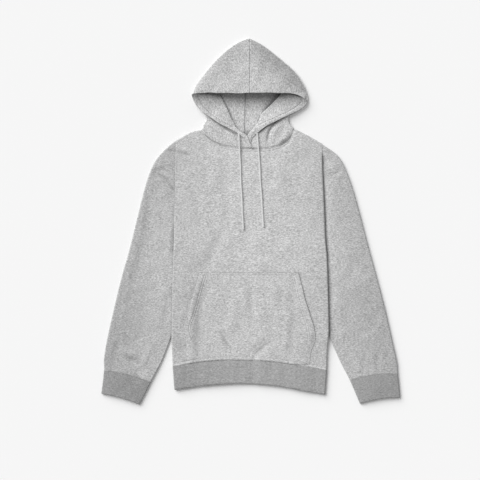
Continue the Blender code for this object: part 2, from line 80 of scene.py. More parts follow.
# outer fold x, y, inner fold x, y, radius of the inner fold, bow
SLEEVE_LEFT = np.array([
    (-199.0, 217, -203.4, -34, 2.9, 0), (-213, 208, -203.6, -43, 2.9, 0),
    (-235, 187, -203.7, -54, 2.7, 0), (-254, 164, -203.8, -68, 2.5, 0),
    (-270, 132, -203.5, -86, 2.2, 0), (-284, 89, -202.0, -106, 1.9, 0),
    (-301, 22, -201.0, -132, 1.7, 0), (-322, -64, -200.0, -168, 1.7, 0),
    (-346, -150, -200.0, -215, 1.7, 0), (-367, -236, -201.5, -262, 1.7, 0),
    (-386, -321, -210.0, -304, 1.7, 0), (-394, -372, -236.0, -374, 2.4, 3),
    (-394, -405, -267.0, -435, 2.9, 6)], float)
SLEEVE_RIGHT = np.array([
    (194.0, 207, 202.1, -34, 2.9, 0), (211, 196, 202.3, -43, 2.7, 0),
    (230.5, 182, 202.8, -54, 2.4, 0), (247, 162, 203.6, -68, 2.1, 0),
    (261, 132, 203.8, -86, 1.8, 0), (276.5, 89, 202.0, -106, 1.7, 0),
    (295.5, 22, 198.5, -132, 1.7, 0), (318, -64, 198.0, -168, 1.7, 0),
    (341.5, -150, 199.5, -215, 1.7, 0), (364, -236, 202.0, -262, 1.7, 0),
    (384, -324, 215.0, -313, 1.7, 0), (396, -378, 243.0, -378, 2.4, 4),
    (399, -413, 270.0, -431, 2.9, 7)], float)
CUFF_LEFT_EDGE = (-401, -465, -297.5, -495, 2.9, 4)
CUFF_RIGHT_EDGE = (405.5, -475, 296.0, -492, 2.9, 5)
# y, left edge, right edge
POCKET = np.array([
    (-389, -168, 159), (-351, -169, 164.5), (-318, -171, 175.5), (-290, -178, 172),
    (-250, -166, 160), (-212, -155, 148), (-175, -145, 139), (-138, -134, 130)], float)
# from the peak to the neck seam, on which the last row lies: front edge x, y, z, pleat fold x, y,
# side fold x, y, centre-back seam y, share of the pleat's radius, lift of the collar beside it
PLEATED = 6                 # the first row that has a pleat
HOOD_LEFT = np.array([
    (-1, 344, 27, -2, 418, -6, 491, 470, 1, 0),
    (-32, 344, 26.5, -34, 410, -42, 475, 450, 1, 0),
    (-64, 344, 25, -68, 392, -84, 441, 426, 1, 0),
    (-96, 344, 22, -100, 374, -116, 405, 402, 1, 0),
    (-126, 344, 18, -104, 356, -140, 374, 381, 1, 0),
    (-148, 343, 14, -96, 350, -152, 351, 361, 1, 0),
    (-156, 338, 13, -86, 347, -155, 335, 342, 1, -1.5),
    (-146, 314, 14, -71, 320, -144, 312, 322, 1, -2),
    (-129, 295, 15, -60, 298, -127, 292, 302, 1, -2),
    (-104, 277, 15, -51, 277, -118, 278, 283, 1, -2),
    (-78, 260, 14, -43, 261, -122, 266, 264, 1, -1),
    (-56, 249.5, 13, -39, 252, -126, 258, 252, 0.9, 0.5),
    (-34, 237, 13, -27, 240.5, -128, 251, 240, 0.7, 2),
    (-14, 221, 12.6, -8, 228.0, -130.5, 248, 229, 0.5, 3.1),
    (6, 197, 11, 10, 198, -131.5, 246, 221, 0.3, 3.1)], float)
HOOD_RIGHT = np.array([
    (1, 344, 27, 0, 418, 2, 491, 470, 1, 0),
    (34, 344, 26.5, 36, 412, 40, 470, 450, 1, 0),
    (68, 344, 25, 72, 396, 84, 435, 426, 1, 0),
    (100, 343, 21, 104, 376, 122, 401, 402, 1, 0),
    (127, 339, 17, 108, 362, 145, 367, 381, 1, 0),
    (146, 330, 13, 100, 354, 156, 337, 361, 1, 0),
    (153, 320, 9, 89, 348, 155, 317, 342, 1, 1),
    (145, 308, 9, 74, 330, 144, 305, 322, 1, 1),
    (128, 297, 10, 56, 311, 127, 294, 304, 1, 1),
    (105, 286, 12, 40, 297, 107, 282, 286, 1, 0),
    (86, 277, 13.5, 31, 287, 105, 272, 272, 1, -1),
    (66, 267, 13.5, 27, 277, 107, 264, 261, 1, -1),
    (44, 256, 13.5, 21, 264, 111, 257, 251, 0.9, -0.5),
    (24, 241, 12, 9, 249, 115.5, 252, 240, 0.7, -0.5),
    (6, 224, 8.2, -5, 231, 117, 251, 229, 0.4, -0.8),
    (-6, 197, 7.4, -9, 199, 117.5, 249, 221, 0.2, -0.4)], float)
# y, x of the centre-back seam
BACK_SEAM = np.array([(221, -11), (238, -14), (343, -12), (470, -1)], float)
CORD_LEFT = np.array([
    (-30.5, 236, 13.0), (-29.5, 222, 12.9), (-28, 190, 11.9), (-24.5, 120, 10.9), (-21, 50, 10.9),
    (-18.5, -24, 10.9)], float)
CORD_RIGHT = np.array([
    (19.0, 236, 11.8), (20.5, 221, 11.5), (23, 190, 11.2), (28, 120, 10.9), (32.5, 50, 10.9),
    (35.5, -17, 10.9)], float)

# ---- curves ----

def smooth(t):
    """0 up to 0, 1 from 1 on, smooth between them."""
    t = np.clip(t, 0.0, 1.0)
    return t * t * (3 - 2 * t)


def ramp(value, start, end):
    """0 on the start's side, 1 beyond the end, smooth between them; the end may be the lower."""
    return smooth((value - start) / (end - start))


def bell(offset, width):
    """1 at no offset, falling to nearly 0 at two widths."""
    return np.exp(-(offset / width) ** 2)


def mix(a, b, t):
    return a * (1 - t) + b * t


def unit(vectors):
    return vectors / np.maximum(np.linalg.norm(vectors, axis=-1, keepdims=True), 1e-9)


def hermite(t, a, b, slope_a, slope_b, step=1.0):
    """The cubic from a to b with these slopes, across an interval of this length."""
    t2 = t * t
    t3 = t2 * t
    return ((2 * t3 - 3 * t2 + 1) * a + (t3 - 2 * t2 + t) * step * slope_a
            + (3 * t2 - 2 * t3) * b + (t3 - t2) * step * slope_b)


def rows_at(table, places):
    """Rows of a table at fractional row numbers, on smooth curves through its rows."""
    table = np.asarray(table, float)
    last = len(table) - 1
    places = np.clip(np.asarray(places, float), 0, last)
    i = np.minimum(places.astype(int), last - 1)
    before, a, b, after = (table[np.clip(i + k, 0, last)] for k in (-1, 0, 1, 2))
    return hermite((places - i)[:, None], a, b, 0.5 * (b - before), 0.5 * (after - a))


def read(table, value, column=1):
    """A column against the first one, which rises, on a smooth curve that never overshoots."""
    xs, ys = table[:, 0], table[:, column]
    value = np.clip(value, xs[0], xs[-1])
    h = np.diff(xs)
    d = np.diff(ys) / h
    both = np.where(d[:-1] + d[1:] == 0, 1, d[:-1] + d[1:])
    between = np.where(d[:-1] * d[1:] > 0, 2 * d[:-1] * d[1:] / both, 0.0)
    slope = np.concatenate([d[:1], between, d[-1:]])
    i = np.clip(np.searchsorted(xs, value, side="right") - 1, 0, len(xs) - 2)
    return hermite((value - xs[i]) / h[i], ys[i], ys[i + 1], slope[i], slope[i + 1], h[i])


def spaced(lengths, step):
    """Fractional places along intervals of these lengths, about a step apart."""
    places = [0.0]
    for k, length in enumerate(lengths):
        count = max(2, int(round(length / step)))
        places += [k + (j + 1) / count for j in range(count)]
    return np.array(places)


FINE_TO_COARSE = (2, 11)    # distances from a mark between which the spacing grows


def graded(length, marks, fine, coarse):
    """Places from 0 to a length, close together beside the marks and wider apart elsewhere."""
    places = [0.0]
    while places[-1] < length:
        near = min(abs(places[-1] - mark) for mark in marks)
        places.append(places[-1] + mix(fine, coarse, float(ramp(near, *FINE_TO_COARSE))))
    places = np.array(places)
    return places * length / places[-1]


def steps_of(points):
    """Lengths in plan from each point to the next."""
    return np.hypot(*np.diff(points, axis=0).T)


def lengths_along(line):
    """How far along a line each of its points is."""
    return np.concatenate([[0], np.cumsum(np.linalg.norm(np.diff(line, axis=0), axis=1))])


def resampled(line, along, places):
    """Points at these distances along a line."""
    return np.stack([np.interp(places, along, line[:, k]) for k in range(3)], axis=1)


# ---- creases and undulations ----

def distance_to(line, x, y):
    """Signed distance to a polyline, and the place along it from 0 to 1."""
    line = np.asarray(line, float)
    best = np.full(x.shape, 1e9)
    signed = np.zeros(x.shape)
    along = np.zeros(x.shape)
    lengths = steps_of(line)
    total = lengths.sum()
    start = 0.0
    for a, b, length in zip(line[:-1], line[1:], lengths):
        ux, uy = (b - a) / length
        s = np.clip((x - a[0]) * ux + (y - a[1]) * uy, 0, length)
        dx = x - a[0] - s * ux
        dy = y - a[1] - s * uy
        d = np.hypot(dx, dy)
        near = d < best
        best = np.where(near, d, best)
        signed = np.where(near, np.where(ux * dy - uy * dx < 0, -d, d), signed)
        along = np.where(near, (start + s) / total, along)
        start += length
    return signed, along


def fold_line(points):
    """A fold's x, y, x, y, ... as a smooth polyline."""
    points = np.reshape(points, (-1, 2))
    return rows_at(points, np.linspace(0, len(points) - 1, 4 * len(points)))


def crease_field(table, x, y):
    """Height of the listed folds at each point.

    A fold is (points, half width, height, lean): a ridge where its height is positive, a
    trough where negative, steeper on the side to which it leans.
    """
    z = np.zeros(x.shape)
    for points, width, height, lean in table:
        line = fold_line(points)
        d, u = distance_to(line, x, y)
        w = width * (1 + lean * np.tanh(d / width))
        # the ends run out, the middle isn't even
        uneven = 0.85 + 0.15 * np.sin(9 * u + height)
        body = np.sin(math.pi * np.clip(u, 0.001, 0.999)) ** 0.6 * uneven
        ends = [np.hypot(x - end[0], y - end[1]) for end in line[[0, -1]]]
        body = np.where((u <= 0) | (u >= 1), 0.15 * bell(np.minimum(*ends), width), body)
        z += height * body * bell(d, w)
    return z


def painted_crease_shade(table, x, y):
    """Painted shade along creases, darker in their troughs: (points, half width, depth)."""
    tone = np.ones(x.shape)
    for points, width, depth in table:
        d, u = distance_to(fold_line(points), x, y)
        tone *= 1 - depth * bell(d, width) * smooth(6 * np.minimum(u, 1 - u) + 0.2)
    return tone


class Waves:
    """A smooth random field: a sum of plane waves with seeded lengths and directions."""

    def __init__(self, seed, shortest, longest, count):
        draw = np.random.default_rng(seed)
        length = np.exp(draw.uniform(math.log(shortest), math.log(longest), count))
        angle = draw.uniform(0, math.pi, count)
        self.kx = 2 * math.pi * np.cos(angle) / length
        self.ky = 2 * math.pi * np.sin(angle) / length
        self.phase = draw.uniform(0, 2 * math.pi, count)
        self.share = (length / longest) ** 0.6
        self.share /= math.sqrt((self.share ** 2).sum() / 2)

    def at(self, x, y):
        z = np.zeros(x.shape)
        for kx, ky, phase, share in zip(self.kx, self.ky, self.phase, self.share):
            z += share * np.sin(kx * x + ky * y + phase)
        return z


BODY_WAVES = Waves(11, 34, 120, 26)
SLEEVE_WAVES = Waves(23, 30, 110, 26)
BACK_WAVES = Waves(37, 40, 140, 22)
HOOD_WAVES = Waves(41, 26, 80, 22)

# Folds of the front, also felt by the pocket that lies on it
FRONT_FOLDS = [
    ((-208, 200, -184, 193, -160, 186), 5, 2.6, 0.2),
    ((-208, 189, -182, 180, -156, 173), 4.5, -2.6, 0),
    ((-86, -16, -108, -50, -126, -86, -140, -128), 14, 1.9, -0.2),
    ((-56, -10, -80, -48, -98, -84, -112, -130), 12, -1.3, 0.2),
    ((-110, -144, -121, -184, -135, -252, -140, -352, -143, -384), 12, -2.4, 0.3),
    ((-146, -180, -157, -255, -157, -340), 7, 1.5, 0),
    ((-97, -280, -78, -322, -58, -360), 9, 1.5, 0),
    ((-78, -290, -60, -326, -42, -356), 7, -1.8, 0.2),
    ((-38, -198, -43, -252, -48, -304), 16, 1.9, 0),
    ((48, -307, 6, -334, -21, -374), 8, 1.0, -0.2),
    ((67, -322, 28, -348, 1, -384), 8, -1.9, 0.2),
    ((97, -196, 102, -255, 98, -348), 9, 1.1, 0),
    ((115, -186, 121, -255, 113, -352), 8, -1.2, -0.2),
    ((-21, -180, -13, -224, -15, -252), 9, 1.4, 0),
    ((-3, -178, 5, -222, 3, -252), 8, -1.8, 0.2),
    ((72, -176, 66, -210, 70, -246), 14, 1.2, 0),
    ((206, 186, 210, 158, 207, 130), 7, 1.4, 0),
    ((-190, 120, -178, 70, -184, 20), 15, 1.4, 0.2),
    ((196, 66, 172, 10, 150, -30), 16, 1.3, -0.2),
    ((56, 176, 72, 130, 78, 66), 20, 1.1, 0),
    ((-92, 176, -104, 124, -96, 66), 20, 1.2, 0),
    ((-66, 168, -72, 120, -66, 72), 18, -1.0, 0),
    ((30, -52, 70, -72, 120, -66), 17, 1.0, 0.2),
    ((-30, -100, 20, -112, 70, -104), 15, 0.9, -0.2),
    ((150, -110, 170, -150, 178, -200), 12, 1.1, 0.2),
    ((-192, -120, -184, -170, -188, -220), 10, 1.1, 0),
]
# Painted shade along the front's and the sleeves' creases and armholes: (points, half width, depth
# of the darkening)
FRONT_LINES = [
    ((-224, 193, -196, 188, -166, 180), 3.4, 0.24),
    ((-205, 178, -180, 166, -160, 162), 9, 0.03),
    ((-204, 160, -160, 140, -110, 96), 30, 0.025),
    ((-8, -206, -4, -220, -8, -234), 6, 0.06),
    ((-88, -300, -70, -322, -46, -350), 5, 0.10),
    ((10, -360, 28, -342, 56, -322), 5, 0.09),
    ((106, -288, 106, -312, 101, -342), 5, 0.05),
    ((-108, -150, -122, -190, -136, -240, -143, -300, -146, -388), 7, 0.06),
]
SLEEVE_LINES = [
    ((-226, 193, -196, 188, -166, 180), 3.4, 0.24),
    ((-268, 131, -243, 128, -227, 114, -213, 98, -203, 80), 3.2, 0.20),
    ((-264, 104, -240, 110, -224, 102, -206, 84), 2.8, 0.13),
    ((-274, 80, -285, 0, -299, -74, -326, -156), 9, 0.06),
    ((-346, -360, -318, -371, -284, -386), 4.2, 0.11),
    ((-366, -310, -360, -350, -350, -386), 6, 0.05),
    ((256, 141, 240, 136, 228, 130, 203, 115), 3.2, 0.12),
    ((209, 194, 207, 178, 203, 160), 4.5, 0.11),
    ((196, 206, 214, 197, 236, 178), 9, 0.06),
    ((341, -352, 344, -380, 348, -404), 2.8, 0.05),
    ((330, -366, 328, -386, 331, -404), 2.6, 0.03),
    ((376, -352, 378, -376, 380, -400), 3.4, 0.06),
]
# The body's cloth gives beside the pocket's hand openings
MOUTH_FOLDS = [
    ((-138, -146, -160, -214, -182, -290), 5, -1.3, 0),
    ((134, -146, 154, -214, 177, -292), 5, -0.5, 0),
]
# Folds of the back panel: ridges that lift off the floor
BACK_FOLDS = [
    ((-150, 200, -60, 186, 30, 190, 110, 204), 13, 2.1, 0.2),
    ((-170, 120, -120, 60, -60, 28), 15, 2.0, -0.3),
    ((168, 130, 120, 76, 70, 50), 14, 2.3, 0.3),
    ((-90, -20, -30, -60, 46, -74), 16, 1.8, 0.2),
    ((-160, -120, -150, -200, -128, -270), 12, 2.2, -0.2),
    ((150, -90, 142, -170, 150, -250), 13, 2.0, 0.2),
    ((-60, -180, -20, -230, 40, -250), 15, 1.6, 0),
    ((30, -290, 80, -320, 140, -330), 11, 1.9, 0.3),
    ((-130, -320, -80, -340, -30, -336), 11, 1.7, -0.3),
    ((-10, 130, 10, 90, 14, 40), 17, 1.5, 0),
]
SLEEVE_LEFT_FOLDS = [
    ((-246, 198, -222, 203, -202, 200), 5, 3.0, 0.2),
    ((-242, 188, -221, 192, -202, 189), 4, -3.0, 0),
    ((-272, 146, -251, 151, -228, 142), 5, 2.4, 0.2),
    ((-272, 133, -251, 138, -230, 128, -216, 112), 4, -3.2, 0),
    ((-256, 124, -236, 128, -214, 112), 4, 1.4, 0),
    ((-260, 112, -240, 117, -222, 108, -206, 92), 4, -3.2, 0.2),
    ((-279, 108, -299, -21, -321, -127, -352, -286), 11, 1.3, 0),
    ((-261, 100, -282, -25, -304, -130, -334, -280), 15, -0.9, 0.2),
    ((-250, 40, -244, -20, -250, -80), 15, 1.2, 0),
    ((-300, -40, -272, -66, -236, -60), 16, 1.0, 0.2),
    ((-330, -140, -296, -160, -256, -150), 16, -0.7, 0),
    ((-240, -130, -232, -190, -238, -250), 15, 0.6, 0),
    ((-352, -210, -322, -236, -280, -230), 16, 0.7, -0.2),
    ((-350, -350, -323, -358, -296, -371), 6, 2.3, 0.2),
    ((-344, -366, -319, -375, -294, -388), 6, -2.0, 0),
    ((-368, -330, -364, -356, -366, -382), 7, -1.8, 0.2),
    ((-262, -330, -276, -362, -292, -398), 9, 1.8, 0),
    ((-376, -290, -350, -306, -322, -300), 13, 1.1, 0),
    ((-318, -300, -300, -326, -290, -352), 12, -1.1, 0),
]
SLEEVE_RIGHT_FOLDS = [
    ((260, 142, 240, 137, 228, 130, 206, 116), 5, -1.5, 0.2),
    ((254, 156, 236, 152, 222, 146, 204, 134), 8, 1.0, 0),
    ((207, 194, 205, 176, 202, 158), 4.5, -1.4, 0),
    ((270, 100, 246, 90, 220, 104), 14, 1.2, 0),
    ((290, 30, 262, 16, 228, 30), 17, -1.4, 0),
    ((312, -50, 280, -76, 238, -66), 18, 1.4, 0.2),
    ((292, -110, 276, -140, 256, -160), 13, -1.4, 0.2),
    ((250, -180, 240, -220, 246, -266), 15, 1.1, 0),
    ((340, -150, 306, -176, 262, -186), 17, 1.2, 0),
    ((362, -240, 330, -262, 290, -262), 15, -1.3, 0.2),
    ((352, -290, 324, -310, 290, -312), 13, 1.2, 0.2),
    ((344, -350, 343, -380, 347, -410), 5, -1.5, 0),
    ((332, -352, 331, -380, 335, -408), 6, 0.9, 0),
    ((312, -356, 306, -378, 302, -402), 6, -1.2, 0.2),
    ((374, -340, 370, -370, 374, -400), 8, -1.3, 0.2),
    ((258, -340, 272, -370, 286, -404), 9, -1.2, 0),
]
SLEEVE_UNDER_FOLDS = [
    ((250, 120, 244, 60, 256, 0), 14, 1.5, 0.2),
    ((300, -30, 266, -70, 232, -76), 14, 1.7, 0),
    ((330, -150, 296, -176, 250, -170), 15, 1.8, 0.2),
    ((350, -236, 316, -262, 276, -280), 14, 1.5, -0.2),
    ((370, -330, 340, -352, 300, -346), 10, 1.9, 0.2),
    ((300, -376, 318, -392, 342, -396), 8, 1.5, 0),
]
HOOD_CROWN_FOLDS = [
    ((-40, 440, -30, 400, -34, 360), 14, 1.2, 0.2),
    ((-96, 400, -80, 372, -70, 352), 12, -1.2, 0),
    ((36, 452, 44, 410, 34, 366), 15, -1.4, 0.2),
    ((90, 410, 84, 380, 70, 354), 13, 1.2, 0),
    ((128, 372, 120, 356, 112, 348), 8, -1.2, 0),
]
HOOD_COLLAR_FOLDS = [
    ((74, 264, 58, 250, 50, 236, 48, 214), 3.6, -3.6, 0.2),
    ((84, 262, 68, 244, 60, 226, 58, 208), 6, 2.2, 0),
    ((100, 240, 92, 222, 74, 208), 5, 2.4, 0),
    ((-112, 262, -88, 240, -60, 226), 7, 1.7, 0.2),
    ((-118, 250, -98, 228, -70, 213), 4.5, -2.0, 0),
    ((-96, 246, -70, 228, -44, 218), 4.5, -1.4, 0),
    ((104, 264, 99, 246, 101, 230), 6, 1.1, 0),
]
# painted shadow of the left lapel's edge on the right panel, and painted shade in the throat and
# along the collar's folds
THROAT_LAP = ((-36, 236), (-14, 219), (7, 195))
THROAT_LINES = [
    ((22, 250, 11, 238, 4, 226, 4, 212), 4.5, 0.26),
]
COLLAR_LINES = [
    ((80, 276, 68, 266, 55, 251, 48, 234, 44, 210), 2.8, 0.48),
    ((104, 292, 84, 276, 62, 263, 40, 252, 20, 234), 3.6, 0.46),
    ((119, 252, 113, 236, 101, 222, 80, 211), 6.5, 0.20),
    ((92, 262, 84, 244, 70, 226), 4.0, 0.08),
    ((-118, 288, -86, 264, -59, 246, -30, 230), 3.6, 0.46),
    ((-116, 262, -92, 244, -60, 230), 3.0, 0.10),
    ((-108, 246, -84, 230, -54, 218), 3.0, 0.09),
]
HOOD_BACK_FOLDS = [
    ((-120, 300, -80, 322, -40, 360), 14, 1.9, 0.2),
    ((110, 296, 74, 330, 44, 380), 14, 2.1, 0),
    ((-90, 400, -60, 380, -30, 400), 12, 1.7, 0.2),
    ((90, 404, 60, 384, 20, 410), 12, 1.6, 0),
]


# ---- shells ----

RIM_REACH = 0.42            # how far a rim's middle line stands out, in cloth thicknesses


def placed(name, mesh, material):
    """A smooth object of this mesh, in the scene."""
    mesh.shade_smooth()
    mesh.materials.append(material)
    piece = bpy.data.objects.new(name, mesh)
    bpy.context.scene.collection.objects.link(piece)
    return piece


def normals_of(grid, closed=False):
    """Unit normals of a grid of points, by rows and columns."""
    if closed:
        across = np.roll(grid, -1, axis=1) - np.roll(grid, 1, axis=1)
    else:
        across = np.gradient(grid, axis=1)
    return unit(np.cross(across, np.gradient(grid, axis=0)))


def shell(name, grid, material, tone, inner_tone=None, closed=False):
    """A thin shell with round rims: both faces of the cloth, joined along its free edges."""
    rows, columns = grid.shape[:2]
    count = rows * columns
    half = 0.5 * CLOTH * normals_of(grid, closed)
    index = np.arange(count).reshape(rows, columns)
    step = np.concatenate([index, index[:, :1]], axis=1) if closed else index
    corners = [step[:-1, :-1], step[:-1, 1:], step[1:, 1:], step[1:, :-1]]
    faces = np.stack(corners, axis=-1).reshape(-1, 4)
    points = [(grid + half).reshape(-1, 3), (grid - half).reshape(-1, 3)]
    quads = [faces, faces[:, ::-1] + count]
    away = np.zeros_like(grid)
    away[0] += grid[0] - grid[1]
    away[-1] += grid[-1] - grid[-2]
    if closed:
        rims = [index[0], index[-1][::-1]]
    else:
        away[:, 0] += grid[:, 0] - grid[:, 1]
        away[:, -1] += grid[:, -1] - grid[:, -2]
        rims = [np.concatenate([index[0, :-1], index[:-1, -1], index[-1, :0:-1],
                                index[:0:-1, 0]])]
    start = 2 * count
    for rim in rims:
        outward = unit(away.reshape(-1, 3)[rim])
        points.append(grid.reshape(-1, 3)[rim] + RIM_REACH * CLOTH * outward)
        following = np.roll(rim, -1)
        middle = start + np.arange(len(rim))
        after = np.roll(middle, -1)
        quads.append(np.stack([following, rim, middle, after], axis=-1))
        quads.append(np.stack([rim + count, following + count, after, middle], axis=-1))
        start += len(rim)
    points = np.concatenate(points) * MM
    quads = np.concatenate(quads)
    mesh = bpy.data.meshes.new(name)
    mesh.vertices.add(len(points))
    mesh.vertices.foreach_set("co", points.ravel())
    mesh.loops.add(quads.size)
    mesh.loops.foreach_set("vertex_index", quads.ravel())
    mesh.polygons.add(len(quads))
    mesh.polygons.foreach_set("loop_start", np.arange(0, quads.size, 4))
    mesh.update(calc_edges=True)
    mesh.validate()
    # the tone attribute carries each face's painted shade and painted light
    outer = tone.reshape(-1)
    inner = outer if inner_tone is None else inner_tone.reshape(-1)
    values = np.concatenate([outer, inner] + [outer[rim] for rim in rims])
    mesh.attributes.new("tone", "FLOAT", "POINT").data.foreach_set("value", values)
    return placed(name, mesh, material)


# ---- body ----

NECK_STITCHES = [3.4, 9.6]  # below the neck's edge
NECK_GAP = 0.45             # from the neck line to the edge of either cloth that meets there
HEM_GAP = 0.15              # the same at the hem's seam
HEM_RIDGE = 2.6             # above the hem's seam
PANEL = 610.0               # length on which a panel's rows are spaced
CURL_STEPS = 6              # columns of a side's curl
ROLL_STEPS = 5              # rows of the shoulder's roll
SIDE_FADE = 40.0            # the folds run out this near the sides
# y between which the armhole's curl, its groove and the shade in it start below the shoulder
ARM_CURL = (182, 152)
ARM_GROOVE = (192, 168)
ARM_SHADE = (178, 154)
# how far the sleeves lift the cloth above them, and how far in from the sides
RISE_FRONT = 5.0
RISE_BACK = 6.5
RISE_FLAT = 14.0
RISE_WIDTH = 110.0


def from_sides(x, y):
    return np.minimum(x - read(SIDES, y, LEFT), read(SIDES, y, RIGHT) - x)


def rise(x, y, full, column):
    share = 1 - smooth((from_sides(x, y) - RISE_FLAT) / (RISE_WIDTH - RISE_FLAT))
    return full * read(SIDES, y, column) * share


def front_height(x, y):
    """Middle height of the front cloth with its folds."""
    from_side = from_sides(x, y)
    from_hem = ramp(y, -470, -430)
    from_neck = np.where(np.abs(x + 5) < 126, read(NECK, x, FRONT) - y, 1e3)
    crown = 1.6 * smooth(from_side / 120.0) * smooth(from_neck / 26.0)
    folds = crease_field(FRONT_FOLDS, x, y) + 0.42 * BODY_WAVES.at(x, y)
    folds = folds * smooth(from_neck / 14.0)
    share = smooth(from_side / SIDE_FADE) * (0.35 + 0.65 * from_hem)
    return FRONT_Z + rise(x, y, RISE_FRONT, FRONT_RISE) + crown + share * folds


def back_height(x, y):
    """Middle height of the back cloth: flat on the floor, with folds that lift off it."""
    lift = crease_field(BACK_FOLDS, x, y) + 0.5 * np.maximum(BACK_WAVES.at(x, y) - 0.4, 0.0)
    share = smooth(from_sides(x, y) / SIDE_FADE)
    return FLOOR_Z + rise(x, y, RISE_BACK, BACK_RISE) + np.clip(lift, 0.0, 2.6) * share


def top_edge(x, column):
    """The body's upper edge: shoulder, neck, shoulder."""
    slope = (read(NECK, x + 6, column) - read(NECK, x - 6, column)) / 12.0
    neck = read(NECK, x, column) - NECK_GAP * np.hypot(1.0, slope)
    edge = np.where(x <= NECK[0, 0], read(SHOULDER_LEFT, x), neck)
    return np.where(x >= NECK[-1, 0], read(SHOULDER_RIGHT, x), edge)


def on_shoulder(x):
    return np.maximum(smooth((NECK[0, 0] + 6 - x) / 12.0), smooth((x - NECK[-1, 0] + 6) / 12.0))


def stitch_dents(distance, marks, depth=0.75, width=1.1):
    """How far the cloth is drawn down along stitching at these distances from an edge."""
    return sum(depth * bell(distance - mark, width) for mark in marks)


def seam_ridge(distance):
    """The body's edge stands up a little where it is sewn to the hem band."""
    return 0.9 * bell(distance - HEM_RIDGE, 1.7) - 0.5 * bell(distance - 7.5, 1.6)


def body_grid(column, sign, height, step=3.0):
    """A body panel from the hem seam to the shoulders, rolled down at its sides and shoulders.

    sign is 1 for the front, whose rims turn down, and -1 for the back, whose rims turn up.
    """
    marks = NECK_STITCHES + [0.0, PANEL - HEM_RIDGE, PANEL]
    t = 1 - graded(PANEL, marks, 0.7, step)[::-1, None] / PANEL
    y_side = mix(SIDES[0, 0], SIDES[-1, 0], t)
    left, right, wrap, lift_front, lift_back = (read(SIDES, y_side, c) for c in range(1, 6))
    radius = 0.5 * (FRONT_Z - FLOOR_Z + lift_front * RISE_FRONT - lift_back * RISE_BACK)
    if sign > 0:
        # beside the armhole the edge curls over the sleeve, more on the right
        low = ramp(y_side, *ARM_CURL)
        curled = mix(mix(1.1, 1.9, low), 3.2, ramp(y_side, 60, -20))
        radius_left = mix(curled, radius, wrap)
        radius_right = mix(mix(1.1, 3.6, low), radius, wrap)
        overlap = 1.4 * (1 - wrap)
        overlap_left = 0.8 * bell(y_side - 130.0, 60.0)
    else:
        # the back panel stays clear of the sleeve's fold below the armhole
        radius_left = radius_right = mix(0.2, radius, wrap)
        overlap = -2.4 * bell(y_side + 62.0, 22.0)
        overlap_left = 0.0
    start = left + 0.5 * CLOTH - overlap - overlap_left + radius_left
    end = right - 0.5 * CLOTH + overlap - radius_right
    flat_x = mix(start, end, np.linspace(0, 1, int(410 / step))[None, :])
    turn = np.linspace(90, 0, CURL_STEPS + 1)[None, :-1] * math.pi / 180
    turned = turn[:, ::-1]
    x = np.concatenate([start - radius_left * np.sin(turn), flat_x,
                        end + radius_right * np.sin(turned)], axis=1)
    drop = np.concatenate([radius_left * (1 - np.cos(turn)), np.zeros_like(flat_x),
                           radius_right * (1 - np.cos(turned))], axis=1)
    shoulder = FOLD_RADIUS * on_shoulder(x)
    top = top_edge(x, column) - shoulder - 0.5 * CLOTH * on_shoulder(x)
    y = mix(read(HEM_SEAM, x) + HEM_GAP, top, t)
    z = height(np.clip(x, start, end), y) - sign * drop
    if sign > 0:
        z = z + crease_field(MOUTH_FOLDS, x, y)
        z = z - stitch_dents(top - y, NECK_STITCHES) * (1 - on_shoulder(x))
        z = z + seam_ridge(y - read(HEM_SEAM, x))
    grid = np.stack([x, y, z], axis=-1)
    roll = [grid]
    for angle in np.linspace(0, 90, ROLL_STEPS + 1)[1:] * math.pi / 180:
        more = grid[-1:].copy()
        more[..., 1] += shoulder[-1:] * math.sin(angle)
        more[..., 2] -= sign * shoulder[-1:] * (1 - math.cos(angle))
        roll.append(more)
    return np.concatenate(roll, axis=0)


def tone_at(grid):
    """Painted light and shade: paler down the middle of the garment, greyer towards the sleeves and
    the hem, where the light falls off.
    """
    across = np.abs(grid[..., 0] + 2.0) / 400.0
    low = smooth((-70 - grid[..., 1]) / 150.0)
    return (1.0 - 0.17 * smooth(across) - 0.05 * across) * (1.0 - 0.05 * low)


